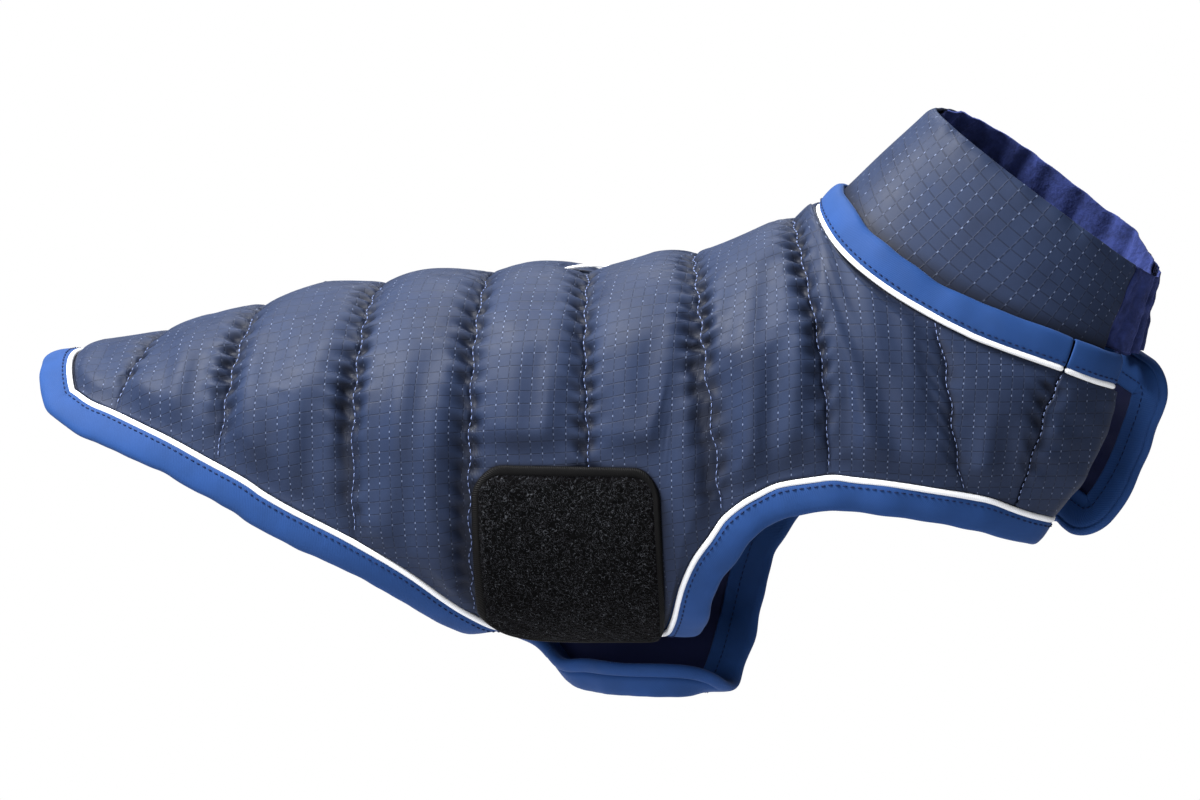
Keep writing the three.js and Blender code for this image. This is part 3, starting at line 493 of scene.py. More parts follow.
SHELL_COLOURS = {
    "plain": "#212d47",
    "deep": "#1c263d",
    "line": "#0b1222",
    # gleam: a painted highlight colour, for the heavy yarn.
    "gleam": "#93a3c8",
    # fold: a painted shade colour, for folds, tucks and seams.
    "fold": "#070c1a",
}
BAND_COLOURS = {"plain": "#1f427c", "deep": "#183562"}
RIP_PITCH = 0.0054  # one square of the ripstop grid
RIP_YARN = 0.036  # half the heavy yarn's width, as a share of a square
RIB_PITCH = 0.0009  # the twill's and the piping's ribs
BINDING_PITCH = 0.001


def linear(hex_colour):
    """A colour from its sRGB hex value."""
    levels = [int(hex_colour[i : i + 2], 16) / 255 for i in (1, 3, 5)]
    return [c / 12.92 if c <= 0.04045 else ((c + 0.055) / 1.055) ** 2.4 for c in levels] + [1]


def add(tree, kind, inputs=None, **settings):
    """Adds a shader node with its settings and links, and gives its first output."""
    node = tree.nodes.new("ShaderNode" + kind)
    for key, value in settings.items():
        setattr(node, key, value)
    for key, value in (inputs or {}).items():
        if isinstance(value, bpy.types.NodeSocket):
            tree.links.new(value, node.inputs[key])
        else:
            node.inputs[key].default_value = value
    return node.outputs[0] if node.outputs else node


def new_material(name, roughness, specular, sheen=0, sheen_roughness=0.5, sheen_tint="#ffffff"):
    material = bpy.data.materials.new(name)
    material.use_nodes = True
    tree = material.node_tree
    tree.nodes.clear()
    constants = {
        "Roughness": roughness,
        "IOR": 1.5,
        "Specular IOR Level": specular,
        "Sheen Weight": sheen,
        "Sheen Roughness": sheen_roughness,
        "Sheen Tint": linear(sheen_tint),
    }
    shader = add(tree, "BsdfPrincipled", constants).node
    add(tree, "OutputMaterial", {"Surface": shader.outputs[0]})
    return material, tree, shader


def calculated(tree, operation, *values):
    """A number worked out from others, each a value or a socket."""
    return add(tree, "Math", dict(enumerate(values)), operation=operation)


def scaled(tree, value, start, end, low=0, high=1, kind="LINEAR"):
    """The value, moved from the range start to end to the range low to high."""
    limits = {"Value": value, "From Min": start, "From Max": end, "To Min": low, "To Max": high}
    return add(tree, "MapRange", limits, interpolation_type=kind)


def mixed(tree, share, first, second):
    """Two colours mixed by a share, each a hex value or a socket."""
    first, second = (linear(colour) if isinstance(colour, str) else colour for colour in (first, second))
    return add(tree, "Mix", {0: share, 6: first, 7: second}, data_type="RGBA").node.outputs[2]


def noise(tree, scale, detail, **more):
    """Noise over the object, in lumps of about 1 / scale metres."""
    place = add(tree, "TexCoord").node.outputs["Object"]
    return add(tree, "TexNoise", {"Vector": place, "Scale": scale, "Detail": detail, **more})


def cloth_axes(tree):
    """The two directions of the flat cloth, in metres."""
    axes = add(tree, "SeparateXYZ", {0: add(tree, "UVMap", uv_map="cloth")}).node
    return axes.outputs[0], axes.outputs[1]


def ribs(tree, axis, pitch):
    """A wave from -1 to 1 along an axis."""
    return calculated(tree, "SINE", calculated(tree, "MULTIPLY", axis, 2 * math.pi / pitch))


def dark_folds(tree, base, reach, closed, open_at, dark):
    """Painted shade in folds: the colour goes towards the dark one where cloth is folded onto itself, in
    folds narrower than the reach.
    """
    share = add(tree, "AmbientOcclusion", {"Distance": reach}, samples=8).node.outputs["AO"]
    return mixed(tree, scaled(tree, share, closed, open_at), dark, base)


def surfaced(made, base, relief=None, strength=0.0, distance=0.0003):
    """Gives a material its colour and its fine relief."""
    material, tree, shader = made
    tree.links.new(base, shader.inputs["Base Color"])
    if relief is not None:
        bump = add(tree, "Bump", {"Strength": strength, "Distance": distance, "Height": relief})
        tree.links.new(bump, shader.inputs["Normal"])
    return material


def ripstop_material():
    """Nylon ripstop, woven with a heavier yarn every 5.4 mm, with a faint calendered gloss, painted
    highlights on the heavy yarn and painted shade in its folds.
    """
    made = new_material("nylon_ripstop_woven", 0.6, 0.16, 0.05, 0.35, "#9fb4e6")
    _, tree, shader = made
    along, down = cloth_axes(tree)
    offs = []
    lines = []
    for axis in (along, down):
        cell = calculated(tree, "FRACT", calculated(tree, "DIVIDE", axis, RIP_PITCH))
        off = calculated(tree, "ABSOLUTE", calculated(tree, "SUBTRACT", cell, 0.5))
        offs.append(off)
        lines.append(scaled(tree, off, RIP_YARN * 1.7, RIP_YARN * 0.5, kind="SMOOTHSTEP"))
    upright, level = lines
    grid = calculated(tree, "MAXIMUM", upright, level)
    # Painted highlight: the upright heavy yarn is lighter where it crosses a level one, and halfway to the
    # next.
    between = calculated(tree, "ABSOLUTE", calculated(tree, "SUBTRACT", offs[1], 0.25))
    gleam = calculated(tree, "MULTIPLY", upright, scaled(tree, between, 0.15, 0.2, kind="SMOOTHSTEP"))
    gleam = calculated(tree, "MULTIPLY", gleam, scaled(tree, noise(tree, 160, 1), 0.44, 0.62, 0.1))
    # Plain weave between the heavy yarns. The real threads are 0.15 mm; drawn at 0.7 mm to show.
    weave = calculated(tree, "MULTIPLY", ribs(tree, along, 0.0007), ribs(tree, down, 0.0007))
    mottle = noise(tree, 45, 4, Roughness=0.6)
    base = mixed(tree, scaled(tree, mottle, 0.3, 0.7), SHELL_COLOURS["deep"], SHELL_COLOURS["plain"])
    base = mixed(tree, calculated(tree, "MULTIPLY", grid, 0.55), base, SHELL_COLOURS["line"])
    base = mixed(tree, calculated(tree, "MULTIPLY", gleam, 0.42), base, SHELL_COLOURS["gleam"])
    # Painted shade in folds and creases, found by ambient occlusion.
    base = dark_folds(tree, base, 0.011, 0.42, 0.95, SHELL_COLOURS["fold"])
    # Painted shade from the crease_shade attribute: in the tucks, along the seams, and on the collar under
    # the neck band.
    crease_shade = add(tree, "Attribute", attribute_name="crease_shade").node.outputs["Fac"]
    base = mixed(tree, calculated(tree, "MULTIPLY", crease_shade, 0.8), base, SHELL_COLOURS["fold"])
    relief = calculated(tree, "MULTIPLY", grid, 0.55)
    relief = calculated(tree, "MULTIPLY_ADD", weave, 0.06, relief)
    relief = calculated(tree, "MULTIPLY_ADD", noise(tree, 130, 2), 0.3, relief)
    tree.links.new(scaled(tree, mottle, 0.3, 0.7, 0.52, 0.64), shader.inputs["Roughness"])
    return surfaced(made, base, relief, 0.4)


def twill_material():
    """Polyester twill tape, woven on the diagonal, with a soft sheen along its ribs."""
    made = new_material("polyester_twill_tape", 0.7, 0.15, 0.12, 0.4, "#a9c6ff")
    tree = made[1]
    along, down = cloth_axes(tree)
    # The ribs lean across the tape.
    rib = ribs(tree, calculated(tree, "MULTIPLY_ADD", down, 0.55, along), RIB_PITCH)
    rib = calculated(tree, "MULTIPLY_ADD", rib, 0.5, 0.5)
    mottle = noise(tree, 70, 3)
    share = calculated(tree, "MULTIPLY_ADD", mottle, 0.9, calculated(tree, "MULTIPLY", rib, 0.12))
    base = mixed(tree, share, BAND_COLOURS["deep"], BAND_COLOURS["plain"])
    return surfaced(made, base, calculated(tree, "MULTIPLY_ADD", mottle, 1.4, rib), 0.2)


def piping_material():
    """Ribbed reflective piping tape over a cord: white, with fine ribs round it."""
    made = new_material("polyester_piping_ribbed", 0.42, 0.5, 0.1)
    tree = made[1]
    rib = calculated(tree, "MULTIPLY_ADD", ribs(tree, cloth_axes(tree)[0], RIB_PITCH), 0.5, 0.5)
    share = calculated(tree, "MULTIPLY", rib, 0.5)
    share = calculated(tree, "MULTIPLY_ADD", noise(tree, 120, 2), 0.5, share)
    return surfaced(made, mixed(tree, share, "#dcdfe5", "#f6f7f9"), rib, 0.1)


def fleece_material():
    """Brushed polyester fleece: a short uneven pile that scatters light at its edges, with painted shade in
    its folds.
    """
    made = new_material("polyester_fleece_brushed", 0.95, 0.12, 0.4, 0.5, "#6f7cc8")
    tree = made[1]
    tufts = noise(tree, 420, 4, Roughness=0.65)
    clumps = noise(tree, 110, 2)
    share = calculated(tree, "MULTIPLY_ADD", clumps, 0.5, calculated(tree, "MULTIPLY", tufts, 0.5))
    base = mixed(tree, scaled(tree, share, 0.35, 0.65), "#182042", "#2a3568")
    # Painted shade in the gathers' folds, found by ambient occlusion.
    base = dark_folds(tree, base, 0.01, 0.3, 0.8, "#04050e")
    return surfaced(made, base, calculated(tree, "MULTIPLY_ADD", clumps, 1.5, tufts), 0.8, 0.0009)


def lining_material():
    """Plain nylon taffeta lining, thin and smooth, dark navy."""
    made = new_material("nylon_taffeta_lining", 0.6, 0.3, 0.15, 0.4, "#5163c8")
    tree = made[1]
    along, down = cloth_axes(tree)
    mottle = noise(tree, 60, 4)
    weave = calculated(tree, "MULTIPLY", ribs(tree, along, 0.0008), ribs(tree, down, 0.0008))
    base = mixed(tree, mottle, "#0d1230", "#161e46")
    return surfaced(made, base, calculated(tree, "MULTIPLY_ADD", weave, 0.1, mottle), 0.5, 0.0006)


def loop_material():
    """Knitted loop pile of a hook-and-loop patch: black, matt, with painted highlights on fine curls."""
    made = new_material("nylon_loop_pile", 0.9, 0.05)
    tree = made[1]
    place = add(tree, "TexCoord").node.outputs["Object"]
    curls = add(tree, "TexVoronoi", {"Vector": place, "Scale": 650}, feature="SMOOTH_F1")
    tufts = noise(tree, 260, 4)
    base = mixed(tree, tufts, "#010102", "#050506")
    # Painted highlights: thin light curls, about 2 mm apart, where loops that stand up would catch the
    # light.
    off = calculated(tree, "SUBTRACT", noise(tree, 430, 1, Distortion=1.5), 0.5)
    off = calculated(tree, "ABSOLUTE", off)
    base = mixed(tree, scaled(tree, off, 0.017, 0), base, "#44464b")
    return surfaced(made, base, calculated(tree, "MULTIPLY_ADD", tufts, 1.2, curls), 0.9, 0.0008)


def binding_material():
    """Black polyester binding, smooth and tightly woven across."""
    made = new_material("polyester_binding_woven", 0.6, 0.1)
    tree = made[1]
    base = mixed(tree, noise(tree, 150, 2), "#020203", "#070708")
    return surfaced(made, base, ribs(tree, cloth_axes(tree)[0], BINDING_PITCH), 0.4)


def thread_material(name, deep, plain):
    """Twisted polyester sewing thread."""
    made = new_material(name, 0.55, 0.12)
    return surfaced(made, mixed(made[1], noise(made[1], 900, 1), deep, plain))


RIPSTOP = ripstop_material()
TWILL = twill_material()
PIPING = piping_material()
FLEECE = fleece_material()
LINING = lining_material()
LOOP = loop_material()
BINDING = binding_material()
QUILT_THREAD = thread_material("polyester_thread_slate", "#42517a", "#8e9ecb")
BAND_THREAD = thread_material("polyester_thread_navy", "#0a1533", "#14254f")

# Cloth in mesh code.


LABELS = ("side", "line", "down")


def ready_layer(layers, name):
    return layers.get(name) or layers.new(name)


def add_grid(bm, columns, rows, place, cloth, flip=False, labels=None, names=LABELS):
    """A grid of cloth. place and cloth give its points and its flat place (both millimetres) from
    the grid's own columns and rows, and labels its values for the named attributes."""
    cloth_layer = ready_layer(bm.loops.layers.uv, "cloth")
    floats = bm.verts.layers.float
    if labels:
        for name in names:
            ready_layer(floats, name)
    grid = bmesh.ops.create_grid(bm, x_segments=len(columns) - 1, y_segments=len(rows) - 1, size=0.5)
    made = grid["verts"]
    share = np.array([vert.co.xy for vert in made]) + 0.5
    a = np.interp(share[:, 0] * (len(columns) - 1), np.arange(len(columns)), columns)
    b = np.interp(share[:, 1] * (len(rows) - 1), np.arange(len(rows)), rows)
    points = place(a, b) * MM
    flat = cloth(a, b) * MM
    for vert, point in zip(made, points):
        vert.co = point
    if labels:
        for name, values in zip(names, labels(a, b)):
            for vert, value in zip(made, values):
                vert[floats[name]] = value
    bm.verts.index_update()
    first = made[0].index
    faces = list(dict.fromkeys(face for vert in made for face in vert.link_faces))
    for face in faces:
        face.smooth = True
        for loop in face.loops:
            loop[cloth_layer].uv = flat[loop.vert.index - first]
    if flip:
        bmesh.ops.reverse_faces(bm, faces=faces)


def new_object(name, bm, material):
    mesh = bpy.data.meshes.new(name)
    bm.to_mesh(mesh)
    bm.free()
    mesh.materials.append(material)
    obj = bpy.data.objects.new(name, mesh)
    bpy.context.scene.collection.objects.link(obj)
    return obj


def sew_on(obj, slot, *nodes):
    """Puts a finished piece on the coat, in place of its solids."""
    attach(obj, "root")
    if nodes:
        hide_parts(*nodes)


def subdivided(obj):
    modifier = obj.modifiers.new("smooth", "SUBSURF")
    modifier.levels = 1
    modifier.render_levels = 1


def thickened(obj, thickness, offset):
    modifier = obj.modifiers.new("thickness", "SOLIDIFY")
    modifier.thickness = thickness * MM
    modifier.offset = offset


# Millimetres of each cloth.
THICKNESS = {
    "lining": 0.7,
    "collar": 1.5,
    "fleece": 1.4,
    "gusset": 1.2,
    "tape": 0.7,
    "pile": 0.8,
    "binding": 0.5,
}


def evaluated_mesh(obj):
    return bpy.data.meshes.new_from_object(obj.evaluated_get(bpy.context.evaluated_depsgraph_get()))


def coordinates(mesh):
    values = np.empty(len(mesh.vertices) * 3)
    mesh.vertices.foreach_get("co", values)
    return values.reshape(-1, 3)


def set_coordinates(mesh, points):
    mesh.vertices.foreach_set("co", points.ravel())
    mesh.update()


def attribute(mesh, name):
    values = np.empty(len(mesh.vertices))
    mesh.attributes[name].data.foreach_get("value", values)
    return values


CHANNEL_SHARES = [0, 0.02, 0.05, 0.095, 0.15, 0.22, 0.31, 0.41, 0.5]
CHANNEL_SHARES += [0.59, 0.69, 0.78, 0.85, 0.905, 0.95, 0.98]
SLOT_FROM = SLOT["centre"] - SLOT["half_length"]
SLOT_TO = SLOT["centre"] + SLOT["half_length"]
# Where the lower edge turns up round the foreleg, and the lines lean most.
LEG_CURVE_LINES = [5.62, 5.66, 5.7, 5.735, 5.77, 5.805, 5.84, 5.875]


def body_lines(start, end, shares):
    lines = {start, end}
    for channel in range(int(start), math.ceil(end)):
        lines |= {channel + share for share in shares if start < channel + share < end}
    keys = [SLOT_FROM, SLOT_TO, SLOT_FROM + 0.03, SLOT_TO - 0.03, NECK_U, NECK_U + 0.06, *LEG_CURVE_LINES]
    keys = [key for key in keys if start < key < end]
    lines = {line for line in lines if all(abs(line - key) > 0.016 for key in keys)}
    return np.array(sorted(lines | set(keys)))


def panel_cloth(name, sides, lines, downs, height, material):
    """A panel of cloth over the form, sewn along the ridge where it isn't open."""
    bm = bmesh.new()
    for side in sides:
        add_grid(
            bm,
            lines,
            downs,
            lambda u, v: panel_point(side, u, v, height(side, u, v)),
            lambda u, v: cloth_place(side, u, v),
            side == FAR,
            lambda u, v: (np.full(len(u), side), u, v),
        )
    bmesh.ops.remove_doubles(bm, verts=bm.verts, dist=WELD)
    return new_object(name, bm, material)


QUILTED_CLOTH = {
    "quality": 6,
    "mass": 0.12,
    "air_damping": 4,
    "tension_stiffness": 20,
    "compression_stiffness": 12,
    "shear_stiffness": 6,
    "bending_stiffness": 0.3,
    "vertex_group_mass": "sewn",
    "vertex_group_shrink": "loose",
    "shrink_min": 0,
    "use_pressure": True,
}


def stuffed(obj, slack, pressure, frames, cap):
    """Lets the cloth swell between its seams, with the seams and edges held where they are sewn. No
    point moves further than the cap."""
    mesh = obj.data
    side, line, down = (attribute(mesh, name) for name in LABELS)
    start = coordinates(mesh)
    low, top, slot = edge_fades(side, line, down)
    at_seam = np.abs(line - np.round(line)) < 0.011
    held = at_seam | (low < 0.02) | (top < 0.02) | (slot < 0.02) | (line < 0.01) | (line > FOLD_U)
    held |= patch_share(side, line, down) > 0.6
    sewn = obj.vertex_groups.new(name="sewn")
    sewn.add(np.flatnonzero(held).tolist(), 1.0, "REPLACE")
    loose = obj.vertex_groups.new(name="loose")
    calm = 1 - 0.55 * smooth_step(0.45, 0.9, down)
    for index, weight in enumerate(calm * low * top * slot):
        loose.add([index], float(weight), "REPLACE")
    cloth = obj.modifiers.new("stuffing", "CLOTH")
    for name, value in QUILTED_CLOTH.items():
        setattr(cloth.settings, name, value)
    cloth.settings.shrink_max = -slack
    cloth.settings.uniform_pressure_force = pressure
    cloth.settings.effector_weights.gravity = 0
    cloth.collision_settings.use_collision = False
    for number in range(1, frames + 1):
        bpy.context.scene.frame_set(number)
    moved = coordinates(evaluated_mesh(obj)) - start
    obj.modifiers.remove(cloth)
    bpy.context.scene.frame_set(1)
    distance = np.linalg.norm(moved, axis=1)
    limit = cap * MM * np.tanh(distance / (cap * MM)) / np.maximum(distance, 1e-9)
    points = start + moved * by(limit)
    base, normal = on_panel(side, line, down)
    above = ((points / MM - base) * normal).sum(axis=1)
    # Nothing sinks into the lining, and nothing lifts the patch.
    lowest = np.where(at_seam, above, np.maximum(above, SEAM_LEVEL))
    under = patch_share(side, line, down)
    wanted = lowest + (np.minimum(lowest, PATCH["above"] - 0.4) - lowest) * under
    set_coordinates(mesh, points + normal * by(wanted - above) * MM)


TUCK_PITCH = 9.0  # distance between two tucks along a quilting seam
TUCK_DEPTH = 1.15  # share of the wadding's height that a tuck takes away
FLAP_TUCK_DEPTH = 0.6
TUCK_REACH = (2.2, 1.6)  # where a tuck is deepest, before and after the seam
TROUGH_DEPTH = (0.62, 0.25)  # share taken by the trough along a seam's lower half, before and after it
SEAM_WANDER = 0.6


def seam_phase(side, seam, along):
    """How the tucks of a seam follow each other: never quite evenly."""
    wander = 1.6 * np.sin(along / 23 + 1.9 * seam + side) + 0.9 * np.sin(along / 8.7 + 2.7 * seam)
    return 2 * np.pi * along / TUCK_PITCH + 2.1 * seam + 0.7 * side + wander


def seam_shift(side, u, v):
    """The stitches draw the seam a little from side to side, in pattern lines."""
    seam = np.round(u)
    off = (u - seam) * CHANNEL
    along = v * line_length(side, u)
    low, top, _ = edge_fades(side, u, v)
    sway = SEAM_WANDER * np.sin(seam_phase(side, seam, along) * 0.5 + 0.8) * np.exp(-((off / 5) ** 2))
    return np.where((seam > 0) & (seam < 10), sway * low * top / CHANNEL, 0)


def finer(obj):
    """Splits each face in four, smoothly, and keeps the result."""
    subdivided(obj)
    shaped = evaluated_mesh(obj)
    obj.modifiers.clear()
    obj.data = shaped


def tucked(obj, depth):
    """Draws tucks in beside the quilting seams, deep and short, leaning up from the seam. The crease_shade
    attribute is painted shade for the material, from 0 to 1: how deep each point lies in a tuck, and darker
    along the seam line."""
    mesh = obj.data
    side, line, down = (attribute(mesh, name) for name in LABELS)
    points = coordinates(mesh) / MM
    side = np.where(np.abs(side) > 0.9, np.sign(side), np.where(points[:, 1] < 0, NEAR, FAR))
    seam = np.round(line)
    off = (line - seam) * CHANNEL
    along = down * line_length(side, line)
    low, top, slot = edge_fades(side, line, down)
    before = off < 0
    leaning = along + np.abs(off) * np.where(before, 0.45, 0.2)
    phase = seam_phase(side, seam, leaning) + np.where(before, 0, 1.4)
    strength = 0.72 + 0.28 * np.sin(along / 13 + 2.2 * seam + np.where(before, 0, 2.5))
    reach = np.abs(off) / np.where(before, *TUCK_REACH)
    spread = (reach * np.exp(1 - reach)) ** 1.25
    upper = 1 - 0.55 * smooth_step(0.55, 0.95, down)
    valley = (0.5 + 0.5 * np.cos(phase)) * strength
    hold = low * top * (0.3 + 0.7 * slot) * np.where((seam > 0) & (seam <= SEAM_NINE), 1, 0)
    hold = hold * np.where(seam == SEAM_EIGHT, 0.3, 1)
    base, normal = on_panel(side, line, down)
    above = dot(points - base, normal)[:, 0]
    standing = np.clip(above - SEAM_LEVEL, 0, None)
    trough = np.exp(-(((np.abs(off) - 2.2) / 2.8) ** 2)) * np.where(before, *TROUGH_DEPTH)
    trough = trough * smooth_step(0.45, 0.7, down) * np.where((seam > 2) & (seam < 7), 1, 0)
    share = np.clip((depth * spread * upper * (0.1 + valley) + trough) * hold, 0, 0.95)
    pillow = 0.5 * spread * (1 - valley) * hold * upper * WADDING[np.clip(np.floor(line).astype(int), 0, 9)]
    shift = seam_shift(side, line, down)
    sideways = panel_point(side, line + shift, down, 0) - panel_point(side, line, down, 0)
    points = points + normal * by(pillow - standing * share) + sideways
    mesh.attributes["side"].data.foreach_set("value", side)
    # Painted shade: darkest in the bottom of a tuck and along the seam line itself.
    crease_shade = 1.1 * share + 0.6 * np.exp(-((off / 1.3) ** 2)) * low * top * upper
    shade = mesh.attributes.new("crease_shade", "FLOAT", "POINT")
    shade.data.foreach_set("value", np.clip(crease_shade, 0, 1))
    set_coordinates(mesh, points * MM)


EDGE_FALLS = 1.9  # height above the lining's inner face on the way down


def turned_under(obj, past):
    """Rolls the cloth's free edges out to the piping and then under, to the lining."""
    bm = bmesh.new()
    bm.from_mesh(obj.data)
    layers = [bm.verts.layers.float[name] for name in LABELS]
    for reach, above in ((past, 2.9), (0.3, EDGE_FALLS), (-1.5, SHELL_INSIDE)):
        edges = [edge for edge in bm.edges if edge.is_boundary]
        outwards = {}
        for edge in edges:
            centre = edge.link_faces[0].calc_center_median()
            away = (edge.verts[0].co + edge.verts[1].co) / 2 - centre
            for vert in edge.verts:
                outwards[vert] = outwards.get(vert, away * 0) + away.normalized()
        source = list(outwards)
        side, line, down = np.array([[vert[layer] for layer in layers] for vert in source]).T
        base, normal = on_panel(side, line, down)
        out = unit(np.array([outwards[vert] for vert in source]))
        out = unit(out - normal * dot(out, normal))
        here = np.array([vert.co for vert in source]) / MM
        height = dot(here - base, normal)
        seam = (line > SEAM_NINE - 0.02) & (line < SEAM_NINE + 0.02) & (down > 0.01) & (down < 0.99)
        # At the seam between back and chest the cloth goes straight in.
        reach_here = np.where(seam, 0, reach)
        target = np.minimum(height, above)
        moved = here + out * by(reach_here) + normal * (target - height)
        spots = dict(zip(source, moved * MM))
        made = bmesh.ops.extrude_edge_only(bm, edges=edges)["geom"]
        fresh = [item for item in made if isinstance(item, bmesh.types.BMVert)]
        keys = {tuple(round(c, 7) for c in vert.co): vert for vert in source}
        for vert in fresh:
            vert.co = spots[keys[tuple(round(c, 7) for c in vert.co)]]
    for face in bm.faces:
        face.smooth = True
    bm.to_mesh(obj.data)
    bm.free()
    obj.data.update()


PAST_EDGE = 0.8
BACK_LINES = body_lines(0, SEAM_NINE - JOIN, CHANNEL_SHARES)
back = panel_cloth("quilted_back", (NEAR, FAR), BACK_LINES, np.linspace(0, 1, 76), shell_height, RIPSTOP)
stuffed(back, slack=0.03, pressure=2.0, frames=16, cap=6)
finer(back)
tucked(back, TUCK_DEPTH)
turned_under(back, PAST_EDGE)
sew_on(back, "ripstop", "back_shell")

FLAP_SHARES = [SEAM_NINE + JOIN + 0.42 * share for share in np.linspace(0, 1, 13)[:-1]]
FLAP_LINES = np.array(FLAP_SHARES + list(np.linspace(FOLD_U + 0.02, FLAP_END_U, 13)))


def flap_height(side, u, v):
    length = line_length(side, u)
    rumple = 0.7 * soft_noise(u * 60, v * length, 23, 17) + 0.4 * soft_noise(u * 60, v * length, 29, 8)
    hold = window(u, SEAM_NINE, 9.12, 9.86, FLAP_END_U)
    low, top, _ = edge_fades(side, u, v)
    pleats = 0.6 * np.sin(2 * np.pi * v * length / 11 + 2 * side) * window(u, SEAM_NINE, 9.05, 9.05, 9.25)
    return 3.0 + np.maximum((1.1 + rumple) * hold * low * top, -0.6) + pleats * low * top


for side, place in ((NEAR, "near"), (FAR, "far")):
    flap = panel_cloth(
        f"chest_cloth_{place}", (side,), FLAP_LINES, np.linspace(0, 1, 60), flap_height, RIPSTOP
    )
    finer(flap)
    tucked(flap, FLAP_TUCK_DEPTH)
    turned_under(flap, PAST_EDGE)
    sew_on(flap, "ripstop", f"chest_panel_{place}")


def lining_height(side, u, v):
    """The lining's middle, creased a little inwards between the seams that hold it."""
    length = line_length(side, u)
    low, top, slot = edge_fades(side, u, v)
    t = u - np.floor(u)
    free = np.sin(np.pi * t) * low * top * slot
    slack = 1.1 + 0.8 * soft_noise(u * CHANNEL, v * length, 5, 22)
    crease = puckers(side, u, v * length, v) * 0.35 * low * top
    flap = smooth_step(9.3, 9.6, u)
    ripples = 0.5 + 0.5 * np.sin(v * length / 3.1)
    return 0.55 - (np.maximum(slack, 0) * free + crease) * (1 - flap) - 0.5 * flap * ripples


LINING_SHARES = [0, 0.06, 0.14, 0.26, 0.38, 0.5, 0.62, 0.74, 0.86, 0.94]
LINING_LINES = np.concatenate(
    [body_lines(0, SEAM_NINE, LINING_SHARES), np.linspace(9.08, FLAP_END_U, 16)]
)
lining = panel_cloth(
    "lining_cloth", (NEAR, FAR), LINING_LINES, np.linspace(0, 1, 56), lining_height, LINING
)
thickened(lining, THICKNESS["lining"], 0)
sew_on(lining, "lining", "lining")

# The collar.


def behind_band(turn, rise):
    """1 on the collar at the neck band's outer fold, where hardly any light gets in, 0 well above it."""
    side, angle = side_and_angle(turn)
    wall = np.linalg.norm(rim_point(side, angle) - neckline_point(side, angle), axis=-1)
    return 1 - smooth_step(17.5, 26, COLLAR_START + rise * (wall - COLLAR_START))


def collar_cloth(name, material, columns, rises, turn_at, depth, length, rise_at=None, grain=0):
    """A wall of the collar. columns are shares round it, depth is how far inwards it lies, length is
    the cloth's along it, and grain is how many degrees the weave leans."""
    lean = math.radians(grain)

    def place(share, rise):
        height = rise_at(share, rise) if rise_at else rise
        return collar_spot(turn_at(share, height), height, depth(share, height))

    def cloth(share, rise):
        along = share * length
        down = rise * COLLAR_HEIGHT
        turned_along = along * math.cos(lean) + down * math.sin(lean)
        return np.stack([turned_along, down * math.cos(lean) - along * math.sin(lean)], axis=-1)

    # The collar's crease_shade attribute is painted shade, darkest along the neck band's fold.
    def labels(share, rise):
        return (behind_band(turn_at(share, rise), rise),)

    bm = bmesh.new()
    add_grid(bm, columns, rises, place, cloth, False, labels, ("crease_shade",))
    bmesh.ops.remove_doubles(bm, verts=bm.verts, dist=WELD)
    return new_object(name, bm, material)


def shell_turn(share, rise):
    return share * front_end(rise)


def shell_collar_depth(share, rise):
    """Soft waves in the collar's shell, calm at the band and slack towards the rim."""
    turn = shell_turn(share, rise)
    waves = 0.72 * soft_noise(turn, rise * 45, 41, 26) * smooth_step(0.02, 0.5, rise)
    rim = 0.5 * soft_noise(turn, rise * 8, 43, 6) * smooth_step(0.86, 1, rise)
    front = smooth_step(0.9, 1, np.abs(share)) * 0.5 * np.sin(rise * 17)
    rolled = 1.6 * smooth_step(0.93, 1, rise) ** 2
    return 0.2 + waves + rim + front + rolled


collar = collar_cloth(
    "collar_shell",
    RIPSTOP,
    np.linspace(-1, 1, 141),
    np.concatenate([np.linspace(0, 0.36, 19), np.linspace(0.4, 0.9, 11), [0.94, 0.97, 0.99, 1]]),
    shell_turn,
    shell_collar_depth,
    150,
    grain=9,
)
thickened(collar, THICKNESS["collar"], -1)
subdivided(collar)
sew_on(collar, "ripstop", "collar_outer")


def gathers(share, count, seed):
    """Uneven gathers round the collar, from 0 to 1."""
    wander = 0.8 * np.sin(2 * np.pi * 3 * share + seed) + 0.5 * np.sin(2 * np.pi * 7 * share + 2 * seed)
    wave = 0.5 - 0.5 * np.cos(2 * np.pi * count * share + wander)
    return wave * (0.75 + 0.25 * np.sin(2 * np.pi * 5 * share + seed))


def rim_lift(share):
    """How far the fleece is pulled up over the rim along the far half, most at the shell's end."""
    return 0.04 * window(share, 0.01, 0.08, 0.44, 0.49) + 0.045 * window(share, 0.3, 0.36, 0.45, 0.5)


def fleece_depth(share, rise):
    around = 180 - np.abs(360 * share - 180)
    front = smooth_step(front_end(rise) - 14, front_end(rise) - 4, around)
    folds = 5.0 * gathers(share, 25, 1.3) * (0.25 + 0.75 * smooth_step(1.03, 0.6, rise))
    tufts = 0.25 * soft_noise(share * 420, rise * 50, 61, 3)
    rim = 0.9 * soft_noise(share * 420, rise * 5, 67, 9) * smooth_step(0.8, 1, rise)
    behind_gusset = 3.2 * front * (1 - 0.6 * smooth_step(0.85, 1.02, rise))
    return FLEECE_INSIDE + behind_gusset + folds + tufts + rim


def fleece_rise(share, rise):
    """The lower edge is cut away at the front, between the shell's two ends."""
    front_lift = 0.3 * window(share, 0.35, 0.385, 0.615, 0.65) * (1 - rise) ** 1.5
    return rise + smooth_step(0.5, 1, rise) * rim_lift(share) + front_lift


